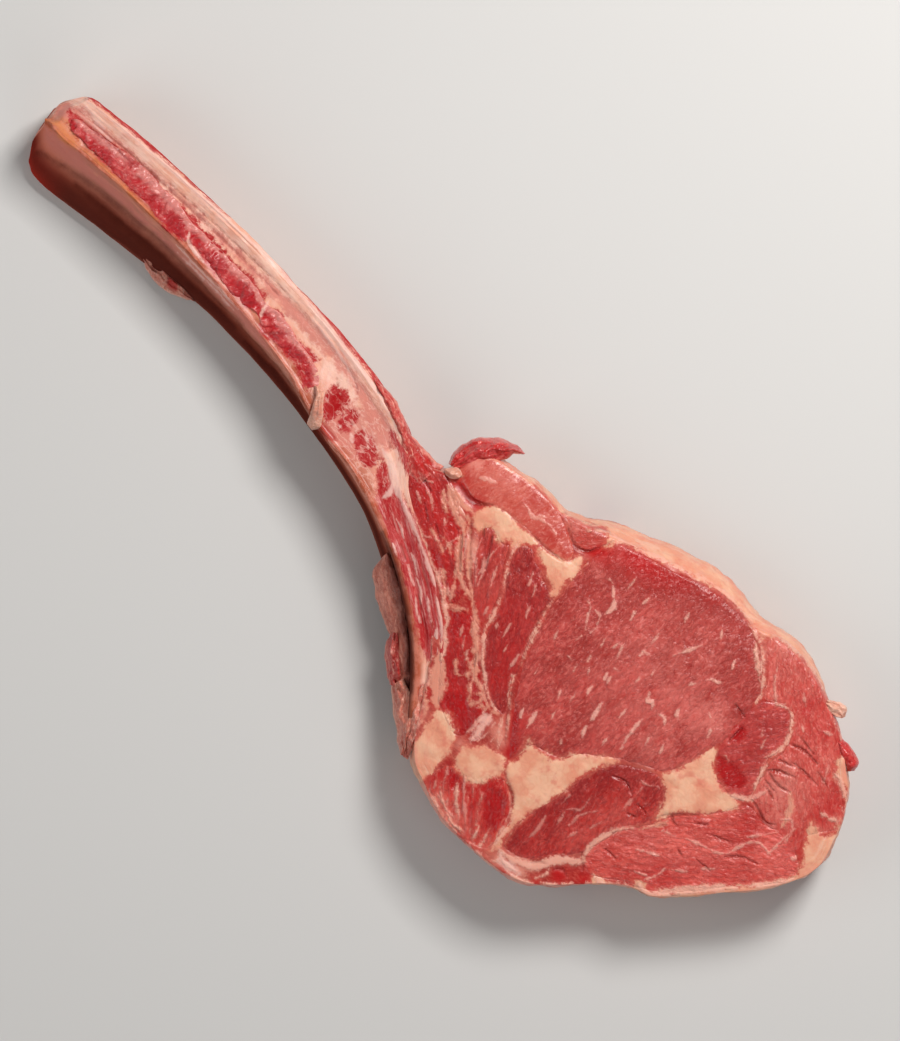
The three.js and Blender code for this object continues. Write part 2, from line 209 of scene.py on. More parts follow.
# x, y, and how far inside that point the upper face's edge lies
sliceOutline = [
    (-14, 39, 3), (-5, 40, 3), (-1, 45, 3), (0, 51, 2.5), (4, 57, 2.5), (13, 60.5, 2), (22, 61.5, 2),
    (32, 63.4, 3), (42, 63, 3), (51, 61.5, 2.5), (59, 64.4, 4), (67, 69, 6), (75, 72.6, 7), (84, 75.2, 7.5),
    (95, 79, 8), (106, 82.4, 8.5), (116, 84.6, 9), (126, 85.4, 9), (137, 84, 8.5), (148, 82.2, 7),
    (158, 82.8, 5.5), (168, 83.8, 5.5), (178, 82, 5.5), (188, 78.6, 5), (198, 72.4, 3.5), (208, 67, 3),
    (217, 60.4, 2.4), (225, 53.5, 2.6), (232, 45, 2.4), (237.5, 34, 2), (241, 24, 2.2), (243.4, 15, 2.4), (242, 6, 2),
    (237, -4, 1.8), (229.5, -14.5, 1.8), (220, -24, 1.8), (210.5, -33.5, 1.8), (200.5, -43, 1.8), (192, -49.6, 1.6),
    (183, -52, 1.6), (174, -57.5, 1.6), (165, -65.5, 1.8), (156, -74, 2), (146, -81.3, 2), (135, -84.6, 2),
    (122, -85.5, 2), (110, -85, 2), (99, -83.6, 1.8), (89, -80.8, 1.8), (79, -76.2, 1.8), (70, -71.6, 1.8),
    (62, -62, 1.8), (54, -47, 2), (45, -31, 2), (33, -17, 2), (19, -4, 2), (4, 8, 2), (-10, 18, 2), (-17, 30, 2),
]
sliceShape = {
    "edge": 35.4,  # height of the upper face at its edge
    "rise": 3.3,  # how much higher its middle stands
    "centre": (112, 5),
    "swell": 0.35,  # slow unevenness of the face
    # how far the side drops away, against the share of the way in from the outline to the face's edge
    "shares": (0, 0.1, 0.25, 0.45, 0.65, 0.85, 1, 1.15, 1.4),
    "drops": (20.5, 15.5, 11.5, 8, 5.2, 2.8, 1.3, 0.4, 0),
    "around": 600, "faceRows": 96, "underRows": 14,
}
sliceLoop = smoothLine(sliceOutline, 360, closed=True)


# Polar lookup round the slice's centre: the reach of the outline and its inset, by angle.
def outlineAt(x, y):
    centreX, centreY = sliceShape["centre"]
    bearing = np.arctan2(sliceLoop[:, 1] - centreY, sliceLoop[:, 0] - centreX)
    order = np.argsort(bearing)
    reach = np.hypot(sliceLoop[:, 0] - centreX, sliceLoop[:, 1] - centreY)
    angle = np.arctan2(y - centreY, x - centreX)
    found = [np.interp(angle, bearing[order], column[order], period=2 * np.pi) for column in (reach, sliceLoop[:, 2])]
    return np.hypot(x - centreX, y - centreY), found[0], found[1]


# Height of the upper face: an even crown with slow swells, falling away where the side begins.
def faceHeight(x, y):
    reach, rim, inset = outlineAt(x, y)
    share = np.clip(reach / rim, 0, 1)
    height = sliceShape["edge"] + sliceShape["rise"] * (1 - share ** 2)
    height = height + sliceShape["swell"] * cloudNoise(x, y, 0, 24, 3, 2)
    inward = -outlineField(x, y, sliceLoop[::2]) / inset
    return height - np.interp(inward, sliceShape["shares"], sliceShape["drops"])


# Thin marks on the cut face, each (width, points): white marbling, cream and peach strands, and cracks, which are sunk
# and painted dark as painted shade.
faceLines = {
    "fleck": [
        (0.6, [(84, -70), (85.4, -73)]), (0.8, [(88, -74), (91, -75)]), (0.6, [(93, -72.6), (95, -75.6)]), (0.8, [(97, -77), (100.4, -77.4)]),
        (0.6, [(101, -74), (103, -77)]), (0.8, [(105, -80), (109, -80.6)]), (0.5, [(87, -66), (88.6, -69)]), (0.6, [(112, -79.6), (116, -81)]),
        (0.7, [(90, -78.4), (94, -79.4)]), (0.6, [(109, -76), (111, -78.4)]),
        (1.0, [(84, 35.6), (87, 34), (88.6, 30.5), (91.4, 25.2)]), (0.8, [(83, 48.4), (87, 49.2), (90.5, 46), (93, 43.2)]),
        (2.9, [(92.4, 44), (94.8, 41), (94.2, 36)]), (0.9, [(89.6, 34.6), (92.6, 33.8), (94.2, 30)]),
        (0.8, [(95, 29.2), (94.4, 25.8)]), (0.8, [(94.3, 57.6), (94.5, 51)]), (1.1, [(118.2, 45), (118.4, 37)]),
        (0.7, [(118, 34.6), (117.6, 31.6)]), (0.6, [(117, 34.4), (121, 34.6)]), (1.2, [(108.8, 31.4), (109.6, 28), (111.4, 22.6)]),
        (0.9, [(101, 27.8), (101.8, 23.4)]), (1.2, [(129, 41), (132.6, 47), (136.4, 53.4)]), (0.6, [(101, 17.6), (101.6, 15)]),
        (1.2, [(132, 21.2), (133.2, 18), (135.6, 19.8), (137.2, 16.8)]), (0.9, [(147.4, 41.2), (149, 44), (154.4, 45.8)]),
        (0.8, [(143, 36), (145.6, 39.2)]), (1.1, [(140.6, 17), (144, 17.6), (146.4, 14.8)]), (0.7, [(104.6, 53.6), (103.8, 49.6)]),
        (0.9, [(146.4, 25.4), (147.6, 22), (149.8, 21.2)]), (0.8, [(158, 32.2), (161.2, 30.2)]), (0.7, [(123.8, 24.6), (124.2, 21.6)]),
        (1.0, [(162, 27.2), (164, 26), (164.6, 22)]), (2.2, [(118.4, 4.6), (119, 0.5), (119.8, -4.6)]), (0.6, [(111.6, 16.4), (112.4, 13.6)]),
        (1.4, [(119.8, -8), (120.6, -11), (122.2, -13.6)]), (1.4, [(136.8, 10.8), (137, 0), (138.2, -5.6)]), (0.6, [(114, 16), (114.4, 13)]),
        (0.9, [(128.4, 10.4), (128.6, 4)]), (0.9, [(106.4, 0.6), (107.2, -4.6)]), (1.2, [(100.6, -2.6), (102, -6.6)]), (0.7, [(93, 11.2), (95.6, 10.4)]),
        (1.4, [(98.6, -17), (99.2, -21), (99.8, -25.6)]), (0.9, [(93, -19.8), (94.6, -23.6)]), (0.6, [(92, 22), (91.4, 18.4)]),
        (0.7, [(82.6, 17), (83.4, 12.8)]), (0.7, [(112, 20), (115, 20.4)]), (0.6, [(104, 13), (105.6, 10)]), (0.6, [(107, 31), (106.4, 27)]),
        (0.7, [(151.6, 8), (152.8, 4)]), (0.6, [(103.6, 45), (104.4, 41.4)]), (0.7, [(113.4, -18.6), (116, -21)]), (0.6, [(127, 33), (127.4, 28)]),
        (0.9, [(144.6, 6.6), (145.4, 2.6)]), (0.6, [(98.8, 10.4), (99.4, 7)]), (0.7, [(122.4, 60.6), (123.6, 56.8)]), (0.6, [(140, 30), (141.4, 27)]),
        (0.6, [(138.6, 64.4), (140.6, 61.4)]), (0.6, [(152, 57), (153.4, 53.6)]), (0.9, [(126.8, -16.8), (127.6, -20.4)]),
        (0.8, [(104.6, -11), (105.6, -15.4)]), (0.7, [(130, -6), (130.6, -10)]), (0.6, [(110, 8), (110.6, 4)]), (0.6, [(86, 0), (87, -5)]),
        (0.9, [(64.2, 5.6), (65, 2), (65.6, -1.6)]), (1.6, [(76, -2.6), (76.8, -9.6)]), (0.7, [(65, 16.6), (68.4, 11.6)]),
        (0.6, [(59.6, 2.2), (60.6, 0)]), (0.6, [(69, -1), (70, -6)]), (0.5, [(62, 26), (64, 21)]), (0.5, [(57, 30), (59.6, 24)]),
        (0.8, [(136.8, -42.4), (139.6, -39.6), (142, -38), (141.8, -31.6)]), (1.0, [(142.8, -40.6), (145, -37.4), (148.4, -33.4)]),
        (0.7, [(131.6, -50.4), (132.6, -57), (131.8, -66)]), (1.1, [(154.4, -10.8), (158, -10.4), (161, -8.2), (163, -8.4)]),
        (0.8, [(157, -11), (156.6, -18), (156.2, -26.4)]), (0.6, [(137, -44), (138.2, -50)]), (0.6, [(143, -40), (142.4, -47)]),
        (0.6, [(134, -36), (133.6, -42)]), (0.6, [(150.6, -42), (152.6, -36)]), (0.6, [(145, -52), (147.6, -46)]),
        (1.0, [(186, -18), (192, -16), (200, -14), (205, -11)]), (1.0, [(205, -11), (207, -5), (210, 0), (214, 2), (220, 1)]),
        (0.9, [(207, 0.4), (211.6, 5.6), (216.4, 11)]), (0.9, [(219, 0.4), (220, 10), (221, 17)]), (1.8, [(228, 6), (229.8, 6.6)]),
        (0.8, [(172, -36), (177, -33.4), (182, -31.4)]), (0.7, [(190, -33), (196, -29)]), (0.7, [(178, -44), (184, -41.6)]),
        (0.8, [(184, -44), (187, -39), (188, -34)]), (0.7, [(200, -24), (205, -20)]), (0.6, [(176, -22), (182, -20)]),
        (1.1, [(168, 68.4), (171, 63), (174.6, 58.6), (179, 54.4)]), (2.0, [(196.4, 14), (198.6, 17.6), (200.6, 22.6)]),
        (0.7, [(185, 66), (190, 62)]), (0.8, [(201, 58), (207, 60)]), (0.6, [(212, 33), (216, 30)]), (0.9, [(213.6, 50), (216, 45), (217.6, 41)]),
        (0.7, [(193, 55), (196, 53)]), (0.7, [(181, 42), (183, 39)]), (0.8, [(174.6, 21.6), (177, 22), (179, 20.4)]), (0.6, [(185, 40), (186, 35)]),
        (0.8, [(213.6, 16), (217.4, 19), (221, 14), (221.4, 6)]), (1.2, [(229.4, 8.4), (230.4, 6)]),
        (1.1, [(33, 51), (37, 50), (41, 48.6), (45, 50), (50, 50.4), (54, 49.4)]), (0.8, [(42, 49), (44, 51.4), (46, 52)]), (1.6, [(12, 47), (15, 48.6), (19, 49.8)]),
        (1.0, [(-3.4, 27.2), (1, 25.6), (5, 21.6)]), (1.0, [(10, 11), (15.4, 13.4), (19.4, 15.4), (20.6, 12.6)]), (0.9, [(19.4, 15.4), (21.4, 19.6)]),
        (1.2, [(30, 26.4), (31.4, 21), (35, 16), (38, 12.6), (41.4, 8)]), (0.9, [(38.2, 28.4), (37.8, 22), (40, 15), (42, 9)]),
        (1.3, [(25.6, 27), (28.6, 22.4), (32, 17.4)]), (1.0, [(23.4, 24.6), (26, 20), (29.6, 15)]), (1.1, [(36.2, 20.6), (38.8, 16.6), (39, 12)]),
        (0.7, [(52, -12), (55, -17)]), (0.8, [(57, -16), (60, -21)]), (0.7, [(48.6, -9.4), (51, -14)]), (0.8, [(51.6, 5), (52.6, 0.6)]),
        (0.8, [(10, 24), (13.4, 20.4)]), (0.8, [(-8, 30), (-3, 31.6)]), (0.8, [(24, 4), (27, -0.6)]), (0.7, [(66, 17), (67.6, 13)]),
        (0.8, [(31, 2), (34, -2)]), (0.7, [(14, 18.6), (17, 16)]), (0.7, [(-6, 24), (-1, 21)]), (0.7, [(43, 22), (45, 16), (48, 10)]),
        (1.1, [(97, -65), (99.6, -69.4), (103.4, -72.6), (107, -77)]), (0.7, [(92.6, -60), (97, -66)]), (0.8, [(84.4, -62), (87, -68), (90, -72)]),
        (1.0, [(113, -53), (117.4, -58), (119.6, -64), (121, -72)]), (0.8, [(98, -60.6), (101.4, -64.6)]),
        (1.6, [(80.4, -32.6), (81.4, -38), (81, -46)]), (2.2, [(84, -31.6), (84.6, -38), (84.4, -47)]), (1.4, [(87.4, -33), (87.8, -38), (86.8, -45)]),
        (0.8, [(90, -32), (91.6, -38), (91, -43)]), (0.8, [(93.4, -35), (95.6, -40)]),
    ],
    "cream": [
        (4.2, [(-24, 27.4), (-19, 24.6), (-14, 20.6), (-9, 17)]), (5.4, [(-15, 18.4), (-10, 17), (-5, 15)]), (2.6, [(-15, 15.6), (-16, 11.4)]),
        (1.6, [(-7, 16.4), (0, 14.2), (7, 10.4), (13, 7), (19, 4)]), (1.6, [(16, 5.6), (22, 2.4), (28, -1), (33, -5)]),
        (1.8, [(30, -2.6), (36, -7), (41, -11), (45, -17)]), (3.0, [(42, -13.4), (47, -20), (51, -27)]),
        (0.9, [(43.6, 36), (44.6, 30), (47, 23.6), (50.4, 17.6), (53.4, 11.6), (55.4, 6)]), (1.7, [(54.6, 8), (55.8, 3.4), (56.4, -1)]),
        (1.6, [(56, 0.6), (57.4, -4), (60.6, -8.6), (64.4, -14), (69, -19)]), (1.3, [(68, -18), (73, -22.4), (78, -26), (84, -28.4)]),
        (0.9, [(72, 25), (74.2, 13.4), (77, 3), (79.4, -5.4)]), (0.9, [(80.4, -11.6), (84, -18), (88, -23.6)]),
        (1.1, [(88, -28), (90.6, -33), (93.6, -38), (97, -42)]), (0.9, [(90, -26), (93, -31), (95, -34)]),
        (2.2, [(147, 74), (154, 71.6), (160, 67.4), (166, 60.6), (170, 54.6), (171.6, 49)]),
        (1.0, [(155, 69), (158, 66), (164, 60), (168.6, 55)]), (0.7, [(155.4, 68.8), (156.6, 66.4), (160, 63)]),
        (1.6, [(179, 54.4), (183, 56.4), (188, 54.6), (191.4, 50), (193.2, 43), (192, 36), (190.6, 33.4)]),
        (1.2, [(191, 34), (193, 28), (195, 21), (196.4, 15)]), (2.0, [(189, 9.6), (194, 12), (198, 14.4)]),
        (1.6, [(156.4, -54), (156, -48), (157.4, -41), (160, -35), (165, -29.4)]),
        (1.8, [(64, 60), (70, 64.4), (78, 66.6), (92, 70), (103, 72.6), (118, 77.2)]), (1.8, [(112, 75.6), (124, 78), (138, 77.6), (150, 75.6)]),
        (1.3, [(157, 77.6), (170, 78.8), (184, 76.4), (196, 71.6)]), (0.9, [(200, 69.6), (209, 64.6), (217, 58)]),
        (3.8, [(184, -47.6), (189, -47.8), (194, -43.4), (200, -36.8), (208, -29), (214, -23.4), (219, -19.6)]), (2.4, [(221, -17), (228, -9.6), (235, -1)]), (1.6, [(240.6, 26), (242.4, 15), (241, 6), (237, -2)]),
        (2.2, [(219, 47.6), (223, 46.6), (228, 43.6), (236, 38.4)]), (1.2, [(226, 30), (230, 30.6), (234, 32)]),
        (4.2, [(158, -55), (152, -59.4), (148, -62.6), (145.4, -67), (142, -71), (137, -73.6), (131, -75), (125, -75)]),
        (1.5, [(147.4, -66), (148.8, -70), (146.4, -74.6)]), (3.2, [(150, -60.4), (154, -58.4), (158, -56)]), (1.3, [(126, -76), (131, -78.4), (138, -78)]), (1.4, [(126.4, -75.6), (128, -79), (126, -82)]),
        (1.3, [(149.6, -74.6), (155, -71.4), (160, -66.6)]), (1.6, [(121.6, -60), (122, -68), (122.6, -77)]), (1.0, [(134, -81), (141, -80), (147, -77.6)]),
        (0.9, [(86, -69), (90, -73.6), (96, -77)]), (0.8, [(92, -65), (96, -70), (101, -75)]), (0.8, [(103.6, -61), (106.4, -67), (110.4, -73.6)]),
        (1.0, [(112, -73), (113.4, -80)]), (1.1, [(97, -77.6), (102, -80), (108, -79.6)]), (0.9, [(88, -76), (93, -79.6)]), (0.8, [(116.4, -71), (118, -80)]),
        (1.3, [(165, -57), (171, -57.6), (176, -56.6)]),
    ],
    "peach": [
        (6.4, [(48.6, -25), (53.6, -32), (58.6, -38.4), (62.6, -44)]),
        (2.6, [(3, 35), (8, 34), (14, 32.6), (20.6, 33)]), (2.8, [(4, 34.6), (9, 30.4), (14, 27.6), (19, 26), (22, 23)]),
        (2.2, [(9, 32), (14, 30), (20, 29.6)]), (1.9, [(21, 25), (25, 18.4), (29.4, 12), (34, 6.6), (39, 4.4), (44.6, 2.6)]),
        (1.2, [(21.6, 21), (26, 14.6), (30.6, 8), (34, 2), (37.6, -5)]), (1.4, [(23.4, 26), (28, 20), (33.4, 13), (39, 7.4), (44, 4.4)]),
        (1.6, [(37, -6.4), (41, -5.6), (45, -2)]), (1.0, [(15, 15.6), (19, 15.4), (23, 12.6)]),
        (1.6, [(45, 2.4), (50, -2), (54, -7), (59, -11.6), (64.4, -15.4)]),
        (1.4, [(3, 32), (8, 27), (12, 24)]), (1.2, [(26, 4), (30, 0), (34, -4)]), (1.0, [(10, 15.4), (15, 13), (20, 11)]),
        (0.9, [(60, -12), (63, -16.4), (62, -20.6)]), (0.9, [(63, -17), (66, -22), (70, -24), (74.6, -25.4)]),
        (1.0, [(65.6, -26), (70, -29), (72, -33)]), (1.0, [(71, -29.4), (75, -27), (78.6, -28.4)]), (0.8, [(52, -3), (57, -9), (60, -15)]),
        (1.0, [(75, -25), (76.4, -30), (73.4, -33.6)]), (1.6, [(63.4, -24.4), (65.6, -25.6)]), (0.9, [(72, -33), (76, -31), (80.6, -31)]),
        (0.8, [(58, -18), (62, -20.4), (66.6, -20)]), (0.8, [(68, -27), (67, -22.6)]), (0.8, [(56, -23), (60, -27), (63, -26)]),
        (0.8, [(78, -28), (82, -30), (86, -29)]), (0.9, [(55, -44), (60, -48), (62, -54)]), (0.9, [(54, -49), (58, -54), (62, -62)]),
        (1.6, [(8, 57.6), (14, 58.4), (22, 59.4), (32, 59.4)]),
        (1.0, [(155, 79.6), (166, 81)]), (1.2, [(209, 28), (214, 22), (216, 14)]), (1.2, [(168, -28), (172, -22), (175, -17)]),
    ],
    "crack": [
        (0.7, [(71.4, 27), (73, 14.6), (76.2, 3), (79, -5.6), (82.4, -14)]), (1.1, [(82.4, -14), (86, -21), (91, -29), (97.6, -38)]),
        (1.3, [(105.4, -47.6), (110, -50.4), (115, -53.4), (118, -58)]), (0.7, [(143, -17.4), (149, -15.6), (155, -18)]),
        (0.9, [(155, -53), (158, -56), (160.6, -58.4)]), (0.7, [(194, -9.4), (203, -6)]), (0.8, [(205, -13), (211, -8), (218, -6)]),
        (0.9, [(174.6, -13.4), (177, -15.6), (179, -16)]), (1.0, [(169, -22), (171, -18), (173, -15), (178, -10.6), (184, -6)]),
        (0.7, [(187, -24), (190, -25)]), (0.5, [(196, -22), (204, -22)]), (0.7, [(171.6, 41), (168, 41.4), (164, 42.6)]),
        (1.0, [(198, 14.4), (203, 13), (209, 10.4), (213, 12.6)]), (0.9, [(195, 44.6), (202, 46.4), (210, 45.6)]),
        (0.7, [(201, 39), (209, 39), (216, 38.4)]), (1.0, [(194.6, 29), (199, 32), (206, 34.6)]), (0.9, [(195, 29), (202, 27), (209, 28)]),
        (0.6, [(199, 23), (205, 21)]), (0.5, [(196, 50), (206, 48)]), (0.5, [(213, 43), (219, 41)]), (0.6, [(196, 36), (203, 38)]),
        (1.0, [(150, -66.4), (153, -64), (157, -65)]), (0.8, [(24, 26), (29, 19.6), (34, 13), (39, 8)]), (0.7, [(33, 30), (36, 24), (40, 17)]), (0.7, [(22, 22), (27, 15), (32, 8.6)]),
        (2.2, [(4, 38.8), (10, 37.8), (15, 36.4), (20, 38), (24, 41)]), (0.9, [(-2, 45), (0.6, 44), (3, 41)]), (0.7, [(197, 25), (203, 24)]),
        (1.2, [(20.4, 30), (22.6, 27.4), (24.6, 23.6)]), (0.9, [(-11, 31.4), (-6, 29.6), (-1, 28)]), (0.5, [(61.4, -15.4), (64, -20)]), (0.6, [(174, 36), (173, 28)]),
        (0.5, [(162, -44.6), (168, -45)]), (0.5, [(185, -10), (190, -7)]),
        (0.5, [(160, -20), (165, -20.6)]), (0.5, [(159, -26), (163, -25)]), (0.7, [(140, -71), (143, -68), (145.6, -67)]),
        (1.1, [(55, 56), (60, 52.6), (65, 50.8), (70, 52.4), (73, 57), (76, 64)]), (0.6, [(48, 42), (56, 41.4), (64, 42)]),
        (0.7, [(1, 42.6), (2.6, 47), (4.4, 52), (8, 57)]), (0.6, [(27, 32), (30, 27)]), (0.5, [(10, 18), (16, 14)]), (0.5, [(0, 22), (6, 17)]),
    ],
}
# Patches on the cut face by a few points of their outline: fat, whitish gristle and wet blood.
facePatches = {
    "fat": [
        [(21, 37.6), (20.4, 33), (22, 30), (24, 28.2), (26.6, 28), (28.2, 29.6), (28.6, 32.2), (30, 33.4), (33, 32.6), (35, 30.6), (36.6, 30),
         (38.2, 31.4), (39, 33.4), (41, 34.2), (42.6, 32.6), (44, 34.2), (45.6, 37), (48, 39.2), (51, 40.6), (47, 41.4), (40, 41.8),
         (33, 42), (27, 41.4), (23, 40)],
        [(51.6, 40.6), (53, 38.2), (56, 36.6), (59, 35), (61, 33), (63, 31.6), (66, 31), (68.4, 30.6), (70.4, 27.6), (71.6, 33), (71.8, 40),
         (71.6, 46), (70.4, 49.4), (68.5, 48), (67, 44), (63, 42), (57, 41.4)],
        [(104.6, -29.4), (108, -30.8), (112, -30.2), (115, -28.4), (117, -29.4), (119.5, -27.4), (121.5, -25), (124, -21.6), (127, -18.6),
         (131, -16), (136, -12.6), (141, -10), (138.6, -14), (134.5, -19), (132.5, -25), (131.5, -31), (130, -38), (128, -45), (126, -52),
         (124.5, -58), (124, -65), (123.8, -70), (125.4, -73.4), (125, -77), (123, -79.6), (121.8, -74),
         (121.1, -68), (120.3, -62), (118.5, -57), (115.5, -53.5), (112, -51), (108.5, -49.5), (105.6, -47), (104, -44), (105.5, -39), (105, -34)],
        [(170.8, 20.6), (173, 17), (175.5, 14), (179, 11.6), (183, 10), (188, 9.6), (192, 10), (195.4, 9), (194, 6), (191.5, 3), (188, -1),
         (184, -4.6), (180, -8.2), (176.6, -11.2), (173.5, -15), (171.5, -18.6), (169.8, -19.4), (169.6, -15), (168, -10.4), (165, -6.4),
         (160.6, -3.4), (162.5, 0), (164.5, 5), (167, 12), (169, 18)],
        [(64.6, -45), (68, -44.4), (72, -45.4), (76, -48), (79, -51), (80.2, -55), (79.5, -60), (80, -65), (79.4, -70), (79, -77), (75, -78),
         (70, -73), (67.6, -69), (66.6, -64), (65.4, -58), (64.4, -51)],
        [(84.4, -49.6), (87, -47), (91, -44), (95, -42.4), (99, -42.4), (102, -44.4), (104.4, -47.5), (103, -51), (101, -54), (100, -57.6),
         (97, -60), (93, -60.4), (88, -59.6), (85, -57), (83.6, -53)],
        [(6, 57.8), (13, 59.4), (22, 60.4), (32, 61), (43, 60.2), (51, 59), (57, 60.6), (63, 63.4), (69, 66), (73, 63), (75, 59.6),
         (78, 64.6), (83, 67.4), (92, 69.4), (103, 71.6), (112, 74.2), (122, 76.6), (132, 77.6), (142, 77.2), (150, 75.4), (154, 72.6),
         (157, 76), (163, 78.6), (172, 78.6), (181, 77.2), (190, 74.6), (198, 71.4), (204, 76), (188, 84), (160, 90), (120, 92), (90, 86),
         (70, 78), (58, 72), (40, 68), (20, 66), (4, 62)],
        [(224.6, 23.6), (226.4, 19.8), (229, 16.4), (231, 12.4), (233, 8), (235.4, 3.6), (238, -1), (248, 2), (248, 22), (243, 32), (239, 41),
         (236.4, 38), (235, 35), (235.4, 31), (237, 28), (235.4, 24.4), (232, 22.6), (229, 24.6)],
        [(216.6, 55), (220, 56.4), (224, 55), (228, 51), (231, 47), (227, 46), (222, 47), (219, 48.6), (217.2, 51)],
        [(182, -46.8), (186, -46), (190, -46.6), (194, -43.6), (202, -35.6), (210, -27.6), (219, -19), (227, -10.6), (233, -3), (237.6, 3.6),
         (246, 0), (238, -12), (222, -28), (203, -47), (192, -54), (184, -51)],
        [(166, -57), (171, -56.4), (177, -55.4), (174, -60), (169, -61)],
        [(-2.6, 40), (0, 42.6), (4, 42.4), (3.4, 40), (0, 38.8)],
    ],
    "gristle": [
        [(81, -33), (84, -32), (86, -34), (86.6, -40), (85.6, -46), (83, -45), (82, -40)],
        [(-16, 33.6), (-12, 33.4), (-10.6, 29.6), (-14, 27.8), (-17.4, 30)],
        [(126, -75.6), (132, -77), (138, -76), (140, -78), (134, -80.6), (128, -80)],
    ],
    "blood": [
        [(90.6, -23), (94.6, -24), (97, -29), (100, -33), (103.2, -36), (104.6, -42), (102.6, -43.6), (99.5, -40), (96, -35), (92.5, -30)],
        [(172.6, 20.4), (176, 21.4), (182, 21.4), (188, 20.6), (191, 17), (188, 12.6), (183, 10.8), (177.6, 13), (174, 17)],
        [(172.4, 37), (175.6, 36.6), (176.4, 32), (173.4, 29.6)], [(19.6, 29.6), (24, 28), (25.6, 25), (24, 22.6), (20.6, 24.6)],
        [(6, 39.6), (12, 38.6), (18, 38.6), (23, 40.6), (24, 38), (18, 34.8), (12, 35.8), (6, 37)],
        [(38, -9), (44, -6.4), (48, -8.6), (49.6, -14), (46, -17), (42, -14)], [(-3, 44), (1, 44), (3, 41.4), (0, 43)],
        [(213, 58), (217, 60.6), (220, 58), (217, 55.4)], [(221, 58), (225, 58.6), (227, 55), (223, 54.6)],
        [(64, -36), (70, -33), (77, -38), (79, -46), (74, -46.6), (68, -43.4), (63, -40.4)],
        [(12, 8), (18, 8.6), (26, 4), (24, 1.6), (16, 4.6)], [(24, 4), (30, 3.4), (32, -1), (27, -1)],
        [(85, -62), (92, -61.6), (95, -66), (90, -67.6)], [(104, -58), (112, -55), (117, -62), (118.6, -72), (112, -70)],
    ],
}
